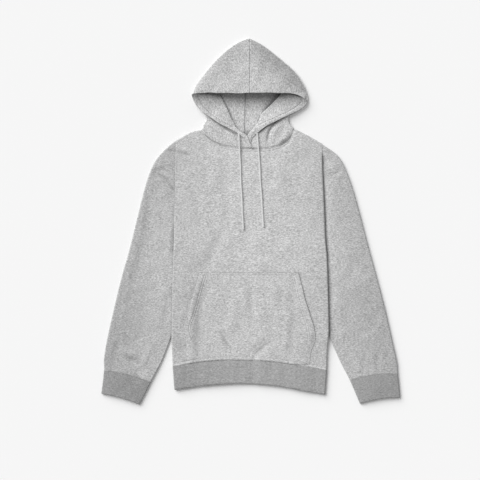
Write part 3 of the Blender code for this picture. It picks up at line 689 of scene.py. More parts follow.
def front_tone(grid):
    """Painted shade on the front in its deepest lines: armholes, pocket's edges, under the collar
    at the neck.
    """
    x, y = grid[..., 0], grid[..., 1]
    from_left = np.maximum(x - read(SIDES, y, LEFT), 0)
    from_right = np.maximum(read(SIDES, y, RIGHT) - x, 0)
    # painted shade in the armhole crevices, beside the pocket's openings and top edge, and under
    # the collar at the neck
    armhole_right = 0.34 * bell(from_right, 2.6) * ramp(y, *ARM_GROOVE)
    armhole_left = (0.12 - 0.08 * bell(y + 34.0, 46.0)) * ramp(y, *ARM_SHADE)
    armhole_left = armhole_left * bell(from_left, 2.2)
    at_pocket = ramp(y, -378, -358) * ramp(y, -136, -140)
    mouth_left = bell(x - read(POCKET, y, LEFT) + 1.6, 1.9) * at_pocket
    mouth_left = mouth_left * mix(0.3, 1.0, ramp(y, -315, -285))
    mouth_right = bell(x - read(POCKET, y, RIGHT) - 1.4, 1.7) * at_pocket
    mouth_right = mouth_right * mix(0.35, 1.0, ramp(y, -330, -290))
    above_pocket = 0.06 * bell(y - POCKET[-1, 0] - 1.2, 1.6) * smooth((135 - np.abs(x + 2)) / 6.0)
    below_neck = read(NECK, np.clip(x, -126, 116), FRONT) - y
    neck = bell(below_neck - 2.4, 3.6) * smooth((121 - np.abs(x + 5)) / 8.0)
    neck = neck * (0.07 + 0.38 * ramp(x, 62, 92) + 0.27 * ramp(x, -50, -80))
    # painted light: lighter near the right side, low down
    paler = 1 + 0.055 * ramp(x, 165, 195) * ramp(y, -180, -220)
    return (tone_at(grid) * paler * painted_crease_shade(FRONT_LINES, x, y) * (1 - armhole_right)
            * (1 - armhole_left) * (1 - 0.16 * mouth_left) * (1 - 0.07 * mouth_right)
            * (1 - neck) * (1 - above_pocket))


# ---- pocket ----

WELT_STITCHES = [19.0, 13.5]    # from the pocket's hand opening
WELT_END = -322                 # where they end, above the hem
POCKET_TOP_STITCHES = [2.6, 8.4]
POCKET_LENGTH = 247.0
POCKET_HALF = 150.0


def pocket_grid():
    """The kangaroo pocket: hand openings that stand a little open, stitched welts and top edge."""
    down = graded(POCKET_LENGTH, POCKET_TOP_STITCHES + [0.0, 240.0], 0.6, 2.6)[::-1, None]
    y_side = POCKET[-1, 0] - down
    left = read(POCKET, y_side, LEFT)
    right = read(POCKET, y_side, RIGHT)
    half = graded(POCKET_HALF, WELT_STITCHES + [0.0], 0.7, 2.8)
    full = 2 * POCKET_HALF
    share = np.concatenate([half, full - half[-2::-1]])[None, :] / full
    from_left = share * full
    from_right = full - from_left
    # the welts keep their width while the pocket narrows
    middle = smooth(np.minimum(from_left, from_right) / POCKET_HALF)
    even = left + (right - left) * share
    x = mix(np.where(from_left < POCKET_HALF, left + from_left, right - from_right), even, middle)
    bottom = read(HEM_SEAM, x) + 0.4
    y = np.maximum(y_side, bottom)
    edge = np.minimum(x - left, right - x)
    # it is sewn down at its foot and along its sides below the hand openings
    below = smooth((y - bottom) / 9.0)
    sewn = ramp(y, -286, -326) * bell(edge, 8.0) * below
    z = front_height(x, y) + (0.4 + CLOTH * mix(0.35, 1.0, below)) - 1.25 * sewn
    mouth = ramp(y, -318, -258) * ramp(y, -150, -190)
    z = z + mouth * (mix(1.4, 0.7, smooth(x / 60.0)) * bell(edge, 12.0) + 0.3)
    z = z - stitch_dents(down, POCKET_TOP_STITCHES, 0.8) + seam_ridge(y - bottom)
    welt = stitch_dents(edge, WELT_STITCHES, 0.8) - 0.5 * bell(edge - 9.0, 5.0)
    z = z - welt * smooth(down / 12.0) * ramp(y, -335, -305)
    return np.stack([x, y, z], axis=-1)


def pocket_tone(grid):
    """The pocket's tone, with painted shade in the needle line's dent along its top edge and along
    creases.
    """
    x, y = grid[..., 0], grid[..., 1]
    top = 0.13 * bell(POCKET[-1, 0] - y - 1.6, 1.7)
    return tone_at(grid) * painted_crease_shade(FRONT_LINES, x, y) * (1 - top)


# ---- hem and cuffs ----

RIB_PITCH = 3.6
RIB_DEPTH = 0.17
RIB_SAMPLES = 4             # columns to a rib
RIB_ROWS = 18
# painted shade: the ribbing's first row, in the ditch where it is sewn on, is darker
SEAM_DITCH_SHADE = 0.74         # tone of the first row, where the ribbing is sewn on


def even_ring(ring, count=None):
    """A closed ring resampled evenly, about 1 mm apart or to a count, and the places used."""
    closed = np.concatenate([ring, ring[:1]])
    along = lengths_along(closed)
    places = np.linspace(0, along[-1], count or int(round(along[-1])), endpoint=False)
    return resampled(closed, along, places), places


def ribbed(grid):
    """Ribs along the rows of a tube, shallow beside its seam."""
    places = np.arange(grid.shape[1]) * RIB_PITCH / RIB_SAMPLES
    share = np.ones((len(grid), 1))
    share[0] = 0.2
    wave = RIB_DEPTH * np.sin(2 * math.pi * places / RIB_PITCH)[None, :] * share
    return grid + normals_of(grid, True) * wave[..., None]


def hem_grid(front, back):
    """The hem band, a tube below the edges of the two panels."""
    ring = np.concatenate([front[0], back[0][::-1]])
    _, places = even_ring(ring)
    top, _ = even_ring(ring, RIB_SAMPLES * int(round(places[-1] / RIB_PITCH)))
    t = np.linspace(0, 1, RIB_ROWS)[:, None]
    x = top[None, :, 0] * mix(1.0, HEM_EDGE_SCALE, t)
    y = mix(read(HEM_SEAM, top[:, 0])[None, :] - HEM_GAP, read(HEM_EDGE, x), t)
    on_front = (top[:, 2] > 0.5 * (FRONT_Z + FLOOR_Z))[None, :]
    from_side = smooth(np.minimum(x - x.min(), x.max() - x) / SIDE_FADE)
    belly = 0.7 * np.sin(math.pi * t) ** 0.7
    waves = 0.16 * BODY_WAVES.at(1.2 * x, y) * smooth(t * 3)
    z = top[None, :, 2] + on_front * belly * from_side + on_front * waves * from_side
    return ribbed(np.stack([x, y, z], axis=-1))


def cuff_grid(tube, places, last):
    """The cuff's part of a sleeve's tube, resampled finely for its ribs."""
    part = tube[places >= last - 1e-6]
    source = np.linspace(0, len(part) - 1, RIB_ROWS)
    lower = source.astype(int)
    upper = np.minimum(lower + 1, len(part) - 1)
    rings = [mix(part[a], part[b], share) for a, b, share in zip(lower, upper, source - lower)]
    count = min(len(even_ring(ring)[0]) for ring in rings)
    count -= count % RIB_SAMPLES
    return ribbed(np.stack([even_ring(ring, count)[0] for ring in rings]))


def band_tone(grid, share):
    # the share paints light across the band; the first row gets painted shade in its ditch
    tone = tone_at(grid) * share
    tone[0] *= SEAM_DITCH_SHADE
    return tone


# ---- sleeves ----

SLEEVE_TOP = 54             # columns of the top cloth, and of the cloth below it
SLEEVE_FOLD = 9             # columns of each fold between them


def square_to(points, toward):
    """Square to an outline in plan, on the side where x has this sign."""
    tangent = np.gradient(points, axis=0)
    normal = unit(np.stack([tangent[:, 1], -tangent[:, 0]], axis=1))
    return normal * np.sign(normal[:, :1] * toward)


def folded(edge, outward, radius, z_from, z_to):
    """The half turn of the cloth at an edge, from one height to the other."""
    columns = []
    for angle in np.linspace(0, math.pi, SLEEVE_FOLD + 2)[1:-1]:
        reach = radius * math.sin(angle)
        columns.append(np.stack([edge[:, 0] + outward[:, 0] * reach,
                                 edge[:, 1] + outward[:, 1] * reach,
                                 mix(z_from, z_to, 0.5 * (1 - math.cos(angle)))], axis=-1))
    return np.stack(columns, axis=1)


def sleeve_grid(table, cuff_edge, folds, side):
    """A sleeve and its cuff as one tube, with every row's place in the table, and its tone of
    painted shade and light.
    """
    chain = np.vstack([table, cuff_edge])
    places = spaced(0.5 * (steps_of(chain[:, 0:2]) + steps_of(chain[:, 2:4])), 3.4)
    row = places[:, None]
    line = rows_at(chain, places)
    outer, inner, bow = line[:, 0:2], line[:, 2:4], line[:, 5:6]
    radius = np.minimum(line[:, 4], mix(1.7, 2.9, ramp(places, 10, 12)))
    # at the shoulder both folds point along the armhole, further down square to the outline
    direct = unit(outer - inner)
    blend = smooth(row / 1.5)
    out = unit(mix(direct, square_to(outer, side), blend))
    into = unit(mix(-direct, square_to(inner, -side), blend))
    start = outer - out * (0.5 * CLOTH + FOLD_RADIUS)
    end = inner - into * (0.5 * CLOTH + radius[:, None])
    width = np.linalg.norm(start - end, axis=1)[:, None]
    # the top cloth, crowned, thinner beside the armhole where the body's edge covers it
    t = np.linspace(0, 1, SLEEVE_TOP)[None, :]
    x = mix(start[:, 0:1], end[:, 0:1], t)
    y = mix(start[:, 1:2], end[:, 1:2], t) + bow * 4 * t * (1 - t)
    thin = 2 * (FOLD_RADIUS - radius)[:, None] * smooth(1 - (1 - t) * width / 45.0)
    from_hole = np.maximum(side * (x - read(SIDES, y, LEFT if side < 0 else RIGHT)), 0.0)
    # beside the armhole it lies lower, the right one more
    deep, reach, slack, ditch = (2.4, 12.0, 1.2, 1.7) if side > 0 else (0.9, 4.0, 0.2, 0.0)
    dip = mix(0.9, deep, ramp(y, *ARM_CURL)) * np.exp(-(from_hole / reach) ** 1.5)
    dip = dip * ramp(y, -80, -20)
    dip = dip + slack * bell(from_hole, 16.0) * smooth(-(y + 10.0) / 60.0)
    groove = bell(from_hole, 6.5) * ramp(y, *ARM_GROOVE)
    dip = (dip + ditch * groove) * np.clip(1 - thin / 2.4, 0, 1)
    rim = np.minimum(t, 1 - t) * width
    crown = 3.2 * smooth(row / 3.0) * np.sin(math.pi * t) ** 0.8
    fade = smooth(rim / 22.0) * ramp(from_hole, -3, 14) * smooth(row / 1.2 + 0.25)
    waves = crease_field(folds, x, y) + 0.36 * SLEEVE_WAVES.at(x, y)
    z = FRONT_Z - thin - dip + crown + fade * waves
    top = np.stack([x, y, z], axis=-1)
    under = crease_field(SLEEVE_UNDER_FOLDS, side * x, y)
    under += 0.5 * np.maximum(BACK_WAVES.at(x, y) - 0.3, 0)
    under_z = FLOOR_Z + np.clip(under, 0, 1.8) * (smooth(rim / 25.0) * smooth(row / 2.0))
    bottom = np.stack([x, y, under_z], axis=-1)[:, ::-1]
    fold_in = folded(end, into, radius, z[:, -1], FLOOR_Z)
    fold_out = folded(start, out, FOLD_RADIUS, FLOOR_Z, z[:, 0])
    grid = np.concatenate([top, fold_in, bottom, fold_out], axis=1)
    tone = tone_at(grid)
    on_top = tone[:, :SLEEVE_TOP]
    # painted shade along the sleeve's creases
    on_top *= painted_crease_shade(SLEEVE_LINES, x, y)
    # painted shade in the crevice beside the armhole; across the top cloth painted light and shade,
    # the left sleeve darker outwards and lighter by the body, the right a little darker by the body
    # up top and lighter low down
    if side < 0:
        crevice = bell(from_hole, 3.0) * ramp(y, *ARM_SHADE)
        crevice = crevice * (0.20 + 0.11 * ramp(y, 30, 70) - 0.20 * bell(y + 30.0, 50.0))
        on_top *= mix(0.895, 1.13, smooth(t))
    else:
        crevice = 0.42 * groove
        low = ramp(y, -230, -310)
        on_top *= 0.98 * (1 - 0.04 * t * ramp(y, 10, 70)) * (1 + 0.035 * low)
    on_top *= 1 - crevice
    # painted light about the lower middle of the sleeves, painted shade on their outer fold
    tone *= 1 + 0.05 * bell(grid[..., 1] + 150.0, 90.0)
    tone[:, -SLEEVE_FOLD:] *= 0.96
    return grid, places, tone


# ---- hood ----

LAPEL_STEPS = 40
CHANNEL = 15.0              # from the hood's front edge to the stitching of the cord's channel
CHANNEL_FITS = (17, 23)     # widths of the lapel between which the stitching starts to show
PLEAT_STEPS = 7
TURN = LAPEL_STEPS + PLEAT_STEPS
COLLAR_STEPS = 34
AHEAD = TURN + COLLAR_STEPS     # columns before the side fold
SIDE_STEPS = 9
BACK_STEPS = 40
SIDE_TURN = 2.0             # the side fold comes to the back layer's y at this rate
CROWN_EDGE = 344            # y of the crown's front edge
CENTRE_X = -1.0             # the hood's centre seam
CENTRE_GAP = 0.92           # from it to the middle of either panel's edge


def strip(start, end, t, z):
    """Points from one place in plan to another, at these shares of the way and heights."""
    return np.stack([mix(start[0], end[0], t), mix(start[1], end[1], t), z], 1)


def hood_row(line, flat, on_neck, side):
    """Front edge, lapel, pleat fold, collar layer, side fold and back layer of one line."""
    face_x, face_y, face_z, fold_x, fold_y, side_x, side_y, seam_y, share, lift = line
    inward = -side
    radius = LAPEL_RADIUS * share
    side_x = side_x + inward * (0.5 * CLOTH + FOLD_RADIUS)
    fold_x = fold_x + side * radius
    low_z = FRONT_Z + lift
    t = np.linspace(0, 1, LAPEL_STEPS + 1)
    puff = 1.3 * share * np.sin(math.pi * t)
    face, fold, turn = (face_x, face_y), (fold_x, fold_y), (side_x, side_y)
    lapel = strip(face, fold, t, mix(face_z, low_z + 2 * radius, t) + puff)
    angle = math.pi * np.arange(1, PLEAT_STEPS) / PLEAT_STEPS
    pleat = np.stack([fold_x + inward * radius * np.sin(angle), fold_y + 0 * angle,
                      low_z + radius * (1 + np.cos(angle))], 1)
    t = np.linspace(0, 1, COLLAR_STEPS + 1)
    from_fold = np.abs(mix(fold_x, side_x, t) - fold_x)
    collar = strip(fold, turn, t, FRONT_Z + lift * (1 - smooth(from_fold / 30.0)))
    pleated = np.concatenate([lapel, pleat, collar])
    t = np.arange(len(pleated)) / AHEAD
    dome = np.cos(0.5 * math.pi * np.clip(t, 0, 1)) ** 0.8
    unpleated = strip(face, turn, t, FRONT_Z + (face_z - FRONT_Z) * dome)
    top = mix(pleated, unpleated, flat)
    top[:, 1] = mix(top[:, 1], read(NECK, top[:, 0], FRONT) + NECK_GAP, on_neck)
    back_y = mix(side_y, read(NECK, np.array([side_x]), BACK)[0] + NECK_GAP, on_neck)
    k = np.arange(1, SIDE_STEPS)
    angle = math.pi * k / SIDE_STEPS
    side_fold = np.stack([side_x + side * FOLD_RADIUS * np.sin(angle),
                          mix(top[-1, 1], back_y, np.minimum(1.0, SIDE_TURN * k / SIDE_STEPS)),
                          FLOOR_Z + FOLD_RADIUS * (1 + np.cos(angle))], 1)
    seam_x = np.interp(seam_y, BACK_SEAM[:, 0], BACK_SEAM[:, 1]) + side * 0.9
    t = np.linspace(0, 1, BACK_STEPS + 1)
    back = strip(turn, (seam_x, seam_y), t, FLOOR_Z + 0 * t)
    back[:, 1] = mix(back[:, 1], read(NECK, back[:, 0], BACK) + NECK_GAP, on_neck)
    return np.concatenate([top, side_fold, back])


def from_face(grid):
    """Distance in plan from each line's front edge."""
    return np.linalg.norm(grid[:, :, :2] - grid[:, :1, :2], axis=2)


def hood_grid(table, side):
    """A hood panel, a row for each line from the peak to the neck, with folds and stitching."""
    places = spaced(np.maximum(steps_of(table[:, 0:2]), steps_of(table[:, 5:7])), 3.0)
    lines = rows_at(table, places)
    flat = np.clip(PLEATED - places, 0, 1)
    on_neck = np.clip(places - len(table) + 2, 0, 1)
    grid = np.stack([hood_row(*values, side) for values in zip(lines, flat, on_neck)])
    x, y, z = grid[..., 0], grid[..., 1], grid[..., 2]
    row = places[:, None]
    column = np.arange(grid.shape[1])[None, :]
    waves = HOOD_WAVES.at(x, y)
    on_crown = (ramp(y, 340, 354) * (column < AHEAD)
                * smooth((1 - np.clip(column / AHEAD, 0, 1)) * 6) * (row < PLEATED + 0.5))
    z += on_crown * (crease_field(HOOD_CROWN_FOLDS, x, y) + 0.6 * waves)
    on_collar = ((column > TURN) * (column < AHEAD) * smooth((column - TURN) / 6.0)
                 * smooth((AHEAD - column) / 5.0) * (row > PLEATED + 0.5))
    z += on_collar * np.clip(crease_field(HOOD_COLLAR_FOLDS, x, y) + 0.4 * waves + 0.3, -3.2, 2.8)
    on_lapel = (column <= LAPEL_STEPS) * smooth(column / 5.0) * (row > PLEATED)
    z += on_lapel * 0.45 * HOOD_WAVES.at(x + 60, y) * (1 - on_neck[:, None])
    behind = column - AHEAD - SIDE_STEPS
    on_back = (behind > 0) * smooth(behind / 6.0) * smooth((grid.shape[1] - 1 - column) / 4.0)
    lift = crease_field(HOOD_BACK_FOLDS, x, y) + 0.4 * np.maximum(BACK_WAVES.at(x, y), 0)
    z += on_back * np.clip(lift, 0, 2.2)
    wide = np.hypot(lines[:, 0] - lines[:, 3], lines[:, 1] - lines[:, 4])[:, None]
    stitched = (column <= LAPEL_STEPS) * smooth((row - 5.6) / 0.8) * ramp(wide, *CHANNEL_FITS)
    z -= stitched * (stitch_dents(from_face(grid), [CHANNEL], 1.1, 1.5)
                     - 0.5 * bell(from_face(grid) - 0.5 * CHANNEL, 4.0))
    # the crown's front edge isn't straight
    edge_wave = 0.7 * np.sin(x / 21.0 + 0.6) + 0.5 * np.sin(x / 8.5 + 2.0)
    edge_wave += 0.9 * bell(x - 102, 28.0) - 1.1 * bell(x + 6, 55.0)
    y += ramp(column, 26, 6) * smooth(4.6 - row) * edge_wave
    x[0] = CENTRE_X + side * CENTRE_GAP
    return grid


def hood_tone(grid, side):
    """Painted shade on the hood's outer and inner face: greyer at the outline, deep inside, in
    crevices and at stitching.
    """
    x, y = grid[..., 0], grid[..., 1]
    column = np.arange(grid.shape[1])[None, :]
    on_crown = (column <= AHEAD) * ramp(y, 343.5, 345.5)
    up = np.clip((y - CROWN_EDGE) / 140.0, 0, 1)
    edge = np.abs(x + 1) + (y - CROWN_EDGE)
    # painted shade on the crown: darker towards the peak, the right side and the outline
    crown = 1.0 - on_crown * (
        0.135 * smooth(up) + 0.12 * ramp(x, 20, 130) + 0.09 * smooth(-x / 60.0)
        + 0.10 * ramp(x, 4, 34) * smooth(1.6 * up) + 0.09 * ramp(edge, 105, 145)
        + 0.03)
    # inside: painted shadow under the crown and painted shade on the lapels, the back layer and the
    # crevices between them
    deeper = ramp(y, 292, 342) * (1 - on_crown)
    lapel = (column <= LAPEL_STEPS + PLEAT_STEPS // 2) * (y < CROWN_EDGE)
    behind = column > AHEAD + SIDE_STEPS
    right_fold = np.interp(y, [265.0, 300.0, 343.0], [22.0, 42.0, 84.0])
    left_fold = np.interp(y, [262.0, 300.0, 343.0], [-42.0, -61.0, -88.0])
    reach = 4.0 + 14.0 * ramp(y, 285, 340)
    crevice = bell(right_fold - x - 1.0, reach) + 0.5 * bell(x - left_fold, 4.0)
    crevice = crevice * behind * ramp(y, 262, 292)
    outer = lapel * ramp(y, 318, 342) * smooth((side * x - 96) / 50.0)
    under_crown = lapel * ramp(y, 325, 339)
    wide = np.max(from_face(grid) * (column <= LAPEL_STEPS), axis=1, keepdims=True)
    stitch = lapel * bell(from_face(grid) - CHANNEL, 1.6) * ramp(wide, *CHANNEL_FITS)
    # painted shade in the channel's stitch dent, stronger on the left, and under the crown's edge
    stitch_shade, crown_shadow = (0.30, 0.34) if side < 0 else (0.14, 0.17)
    # painted shade: a dark spot in the throat and the shadow of the left lapel's edge on the right
    # panel
    pit = behind * bell(np.hypot(x + 5, y - 236), 9.0)
    lap = distance_to(THROAT_LAP, x, y)[0] if side > 0 else 1e3
    lap = bell(lap, 2.6) * (y > 190) * (y < 240)
    # darker along the centre-back seam
    seam = bell(column - grid.shape[1] + 1.0, 1.2) * (y < CROWN_EDGE + 1)
    inner = (1.0 - 0.34 * deeper * behind) * (1.0 - 0.45 * deeper * lapel - 0.10 * outer)
    inner = inner * (1.0 - 0.62 * crevice)
    inner = inner * (1.0 - stitch_shade * stitch) * (1.0 - 0.5 * pit) * (1.0 - 0.42 * lap)
    inner = inner * (1.0 - 0.16 * seam) * painted_crease_shade(THROAT_LINES, x, y)
    inner = inner * (1.0 - crown_shadow * under_crown)
    # the collar: painted shade of its folds along the neck seam
    collar = (column > TURN) * (column <= AHEAD)
    above = y - read(NECK, np.clip(x, -129, 117), FRONT)
    collar_shade = collar * (0.18 * ramp(x, -42, -72) * bell(above - 5.0, 3.0)
                        + 0.26 * ramp(x, 66, 90) * bell(above - 4.0, 6.0))
    collar_shade = 1.0 - (1.0 - collar_shade) * mix(1.0, painted_crease_shade(COLLAR_LINES, x, y), collar)
    return crown * (1.0 - 0.34 * lap) * (1.0 - collar_shade), inner


# ---- materials ----

def new_material(name):
    material = bpy.data.materials.new(name)
    material.use_nodes = True
    tree = material.node_tree
    return material, tree, tree.nodes["Principled BSDF"]


def set_inputs(made, **values):
    for key, value in values.items():
        made.inputs[key.replace("_", " ")].default_value = value


def node(tree, kind, links, operation=None, **values):
    """A shader node, its inputs linked to other nodes' outputs or set; gives its first output."""
    made = tree.nodes.new("ShaderNode" + kind)
    if operation:
        made.operation = operation
    set_inputs(made, **values)
    for key, output in links.items():
        tree.links.new(output, made.inputs[key])
    return made.outputs[0]


def noise(tree, coords, scale, detail=2.0, stretch=(1, 1, 1)):
    vector = node(tree, "Mapping", {"Vector": coords}, Scale=stretch)
    return node(tree, "TexNoise", {"Vector": vector}, Scale=scale, Detail=detail, Roughness=0.6)


def mottle(tree, coords, scale, stretch, depth):
    """A noise that lightens and darkens by this share."""
    return node(tree, "MapRange", {"Value": noise(tree, coords, scale, 2.0, stretch)},
                From_Min=0.3, From_Max=0.7, To_Min=1 - depth, To_Max=1 + depth)


def product(tree, a, b):
    return node(tree, "Math", {0: a, 1: b}, "MULTIPLY")


def knit(name, grey, contrast, with_tone=True, bump=0.35, upright=False):
    """Heather jersey: mixed light and dark fibres at three sizes, fine stitch rows as bump."""
    material, tree, shader = new_material(name)
    coords = tree.nodes.new("ShaderNodeTexCoord").outputs["Object"]
    streak, strand = (1.3, 0.6, 1.0), (1.0, 0.35, 1.0)
    if not upright:
        streak, strand = (0.5, 1.8, 1.0), (0.3, 0.9, 1.0)
    patches = mottle(tree, coords, 130.0, (1.0, 1.7, 1.0), 0.9 * contrast)
    flecks = mottle(tree, coords, 360.0, streak, 3.9 * contrast)
    fibres = mottle(tree, coords, 1300.0, strand, 3 * contrast)
    clouds = mottle(tree, coords, 14.0, (1, 1, 1), 0.015)
    value = product(tree, product(tree, patches, flecks), product(tree, fibres, clouds))
    if with_tone:
        # the tone attribute paints shade and light into the grey
        attribute = tree.nodes.new("ShaderNodeAttribute")
        attribute.attribute_name = "tone"
        value = product(tree, value, attribute.outputs["Fac"])
    colour = node(tree, "VectorMath", {"Scale": value}, "SCALE", Vector=(grey, grey, grey))
    tree.links.new(colour, shader.inputs["Base Color"])
    set_inputs(shader, Roughness=0.96, Specular_IOR_Level=0.15, Sheen_Weight=0.12,
               Sheen_Roughness=0.5)
    fuzz = noise(tree, coords, 900.0, 3.0, (1.0, 0.6, 1.0))
    height = node(tree, "Math", {0: fuzz, 1: noise(tree, coords, 260.0)}, "ADD")
    relief = node(tree, "Bump", {"Height": height}, Strength=bump, Distance=0.0008)
    tree.links.new(relief, shader.inputs["Normal"])
    return material


# ---- studio ----

CAMERA_PLACE = (-0.027, -0.0513, 3.60)
SUN_TOWARD = (0.85, -0.85, -0.80)
SUN_STRENGTH = 3.34
SUN_WIDTH = math.radians(48.0)
SKY_STRENGTH = 0.42
PAPER_GREY = 0.915


def studio():
    """White paper under a soft sky and a broad light from the upper left, seen from above."""
    scene = bpy.context.scene
    scene.view_settings.view_transform = "Standard"
    scene.view_settings.look = "None"
    camera = bpy.data.cameras.new("camera")
    camera.lens = 100.0
    camera.sensor_width = 36.0
    eye = bpy.data.objects.new("camera", camera)
    eye.location = CAMERA_PLACE
    scene.collection.objects.link(eye)
    scene.camera = eye
    bpy.ops.mesh.primitive_plane_add(size=40.0, location=(0, 0, 0))
    floor = bpy.context.object
    floor.name = "floor"
    paper, _, shader = new_material("paper")
    set_inputs(shader, Base_Color=(PAPER_GREY, PAPER_GREY, PAPER_GREY, 1.0), Roughness=0.95,
               Specular_IOR_Level=0.1)
    floor.data.materials.append(paper)
    world = bpy.data.worlds.new("studio")
    world.use_nodes = True
    set_inputs(world.node_tree.nodes["Background"], Color=(1.0, 1.0, 1.0, 1.0),
               Strength=SKY_STRENGTH)
    scene.world = world
    sun = bpy.data.lights.new("key", "SUN")
    sun.energy = SUN_STRENGTH
    sun.angle = SUN_WIDTH
    lamp = bpy.data.objects.new("key", sun)
    lamp.rotation_mode = "QUATERNION"
    lamp.rotation_quaternion = Vector(SUN_TOWARD).to_track_quat("-Z", "Y")
    scene.collection.objects.link(lamp)


# ---- cords and stitching ----

CORD_DIAMETER = 4.8
CORD_SIDES = 16
CORD_STEP = 0.8
BRAID_PITCH = 3.2
BRAID_DEPTH = 0.16
CORD_FLATNESS = 0.86
STITCH_PITCH = 3.3
STITCH_RADIUS = 0.30
STITCH_SIDES = 5
# places along half a stitch's length of 1.25, and how thick it is there
STITCH_PLACES = 1.25 * np.array([-1.0, -0.75, 0.0, 0.75, 1.0])
STITCH_SWELL = (0.35, 0.85, 1.0, 0.85, 0.35)


def cord_piece(name, route, material):
    """A braided cord along a route, with its middle line and its length."""
    fine = rows_at(route, np.linspace(0, len(route) - 1, 400))
    along = lengths_along(fine)
    count = int(along[-1] / CORD_STEP)
    places = np.linspace(0, along[-1], count)
    path = resampled(fine, along, places)
    # lay it on the cloth below with slight waviness
    path[:, 0] += 0.5 * np.sin(places / 31.0) + 0.3 * np.sin(places / 13.0 + 1.0)
    tangent = unit(np.gradient(path, axis=0))
    across = unit(np.cross(tangent, np.array([0.0, 0.0, 1.0])))
    lift = np.cross(across, tangent)
    rounding = np.sqrt(np.clip(0.35 + np.minimum(places, along[-1] - places) / 1.5, 0, 1))
    turns = 2 * math.pi * places / BRAID_PITCH
    rings = []
    for k in range(CORD_SIDES):
        angle = 2 * math.pi * k / CORD_SIDES
        braid = BRAID_DEPTH * np.sin(turns + 4 * angle) * np.sin(turns - 4 * angle)
        radius = (0.5 * CORD_DIAMETER - 0.15 + braid) * rounding
        rings.append(path + across * (math.cos(angle) * radius)[:, None]
                     + lift * (CORD_FLATNESS * math.sin(angle) * radius)[:, None])
    grid = np.stack(rings, axis=1)
    points = np.concatenate([grid.reshape(-1, 3), path[:1], path[-1:]]) * MM
    index = np.arange(count * CORD_SIDES).reshape(count, CORD_SIDES)
    beside = np.roll(index, -1, axis=1)
    quads = np.stack([index[:-1], beside[:-1], beside[1:], index[1:]], axis=-1)
    faces = quads.reshape(-1, 4).tolist()
    first, last = count * CORD_SIDES, count * CORD_SIDES + 1
    faces += [(first, int(b), int(a)) for a, b in zip(index[0], beside[0])]
    faces += [(last, int(a), int(b)) for a, b in zip(index[-1], beside[-1])]
    mesh = bpy.data.meshes.new(name)
    mesh.from_pydata(points.tolist(), [], faces)
    real = float(np.linalg.norm(np.diff(path, axis=0), axis=1).sum())
    return placed(name, mesh, material), path, real


def line_on(grid, normal, rows, columns):
    """Points on the cloth's outer face along a row or a column of its grid."""
    return grid[rows, columns] + (0.5 * CLOTH + 0.05) * normal[rows, columns]


def nearest(values, value):
    return int(np.argmin(np.abs(values - value)))


def stitching(name, lines, material):
    """Rows of small threads lying along lines of points."""
    points, faces = [], []
    around = 2 * math.pi * np.arange(STITCH_SIDES) / STITCH_SIDES
    for line in lines:
        along = lengths_along(line)
        count = int(along[-1] / STITCH_PITCH)
        for middle in (np.arange(count) + 0.5) * along[-1] / max(count, 1):
            spine = resampled(line, along, middle + STITCH_PLACES)
            tangent = unit(spine[-1] - spine[0])
            across = unit(np.cross(tangent, (0.0, 0.0, 1.0)))
            lift = np.cross(across, tangent)
            first = len(points)
            for point, swell in zip(spine, STITCH_SWELL):
                for angle in around:
                    offset = across * math.cos(angle) + lift * math.sin(angle)
                    points.append((point + STITCH_RADIUS * swell * offset) * MM)
            for r in range(len(spine) - 1):
                for k in range(STITCH_SIDES):
                    a = first + r * STITCH_SIDES + k
                    b = first + r * STITCH_SIDES + (k + 1) % STITCH_SIDES
                    faces.append((a, b, b + STITCH_SIDES, a + STITCH_SIDES))
            faces.append(tuple(range(first, first + STITCH_SIDES))[::-1])
            faces.append(tuple(range(len(points) - STITCH_SIDES, len(points))))
    mesh = bpy.data.meshes.new(name)
    mesh.from_pydata([tuple(point) for point in points], [], faces)
    piece = placed(name, mesh, material)
    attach(piece, "root")


# ---- the hoodie ----

studio()
fleece = knit("fleece_heather", 0.570, 0.097)
hood_fleece = knit("fleece_heather_hood", 0.570, 0.098, upright=True)
ribbing = knit("rib_heather", 0.400, 0.078, bump=0.3)
cording = knit("cord_knit", 0.62, 0.04, with_tone=False, bump=0.3)
thread = knit("thread", 0.47, 0.03, with_tone=False, bump=0.1)

front = body_grid(FRONT, 1, front_height, 2.6)
back = body_grid(BACK, -1, back_height, 4.0)[:, ::-1]
pocket = pocket_grid()
hem = hem_grid(body_grid(FRONT, 1, front_height), body_grid(BACK, -1, back_height))
# painted light: the hem band is painted lighter towards the right
hem_tone = band_tone(hem, 0.985 + 0.04 * hem[..., 0] / 200.0)
made = {
    "body_front": shell("front_panel", front, fleece, front_tone(front)),
    "body_back": shell("back_panel", back, fleece, tone_at(back)),
    "pocket": shell("kangaroo_pocket", pocket, fleece, pocket_tone(pocket)),
    "hem_rib": shell("hem_band", hem[::-1], ribbing, hem_tone[::-1], closed=True),
}
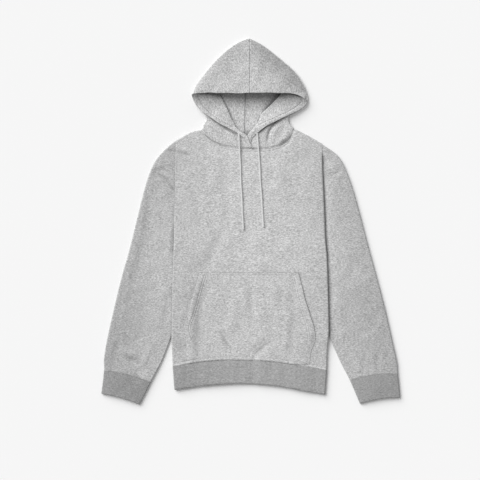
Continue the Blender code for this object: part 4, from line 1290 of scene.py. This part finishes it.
# painted light: the right cuff is painted lighter than the left
for side, label, table, edge, folds, cuff_painted_light in (
        (-1, "left", SLEEVE_LEFT, CUFF_LEFT_EDGE, SLEEVE_LEFT_FOLDS, 1.0),
        (1, "right", SLEEVE_RIGHT, CUFF_RIGHT_EDGE, SLEEVE_RIGHT_FOLDS, 1.065)):
    tube, places, tone = sleeve_grid(table, edge, folds, side)
    last = len(table) - 1
    keep = places <= last + 1e-6
    cuff = cuff_grid(tube, places, last)
    cuff_tone = band_tone(cuff, cuff_painted_light)
    # the left tubes run the other way round
    made["sleeve_" + label] = shell("sleeve_" + label + "_cloth", tube[keep, ::side], fleece,
                                    tone[keep, ::side], closed=True)
    made["cuff_" + label] = shell("cuff_" + label + "_band", cuff[:, ::side], ribbing,
                                  cuff_tone[:, ::side], closed=True)
for side, label, table in ((-1, "left", HOOD_LEFT), (1, "right", HOOD_RIGHT)):
    grid = hood_grid(table, side)
    tone, inner_tone = hood_tone(grid, side)
    made["hood_" + label] = shell("hood_" + label + "_panel", grid[:, ::side], hood_fleece,
                                  inner_tone[:, ::side], tone[:, ::side])

normal = normals_of(front)
middle = front[:-ROLL_STEPS, front.shape[1] // 2, 1]
neck_lines = []
for mark in NECK_STITCHES:
    row = nearest(middle[-1] - middle, mark)
    neck_lines.append(line_on(front, normal, row, np.abs(front[row, :, 0] + 5.5) < 118))
stitching("neck_stitching", neck_lines, thread)
normal = normals_of(pocket)
height = pocket[:, 0, 1]
across = pocket[40, :, 0]   # any row beside the hand openings
pocket_lines = []
for mark in WELT_STITCHES:
    for from_edge in (across - across[0], across[-1] - across):
        pocket_lines.append(line_on(pocket, normal, height > WELT_END, nearest(from_edge, mark)))
for mark in POCKET_TOP_STITCHES:
    row = nearest(POCKET[-1, 0] - height, mark)
    pocket_lines.append(line_on(pocket, normal, row, slice(2, -2)))
stitching("pocket_stitching", pocket_lines, thread)
for label, route in (("left", CORD_LEFT), ("right", CORD_RIGHT)):
    piece, path, length = cord_piece("cord_" + label, route, cording)
    made["drawcord_" + label] = piece

for cad_node, piece in made.items():
    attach(piece, "root")
    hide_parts(cad_node)
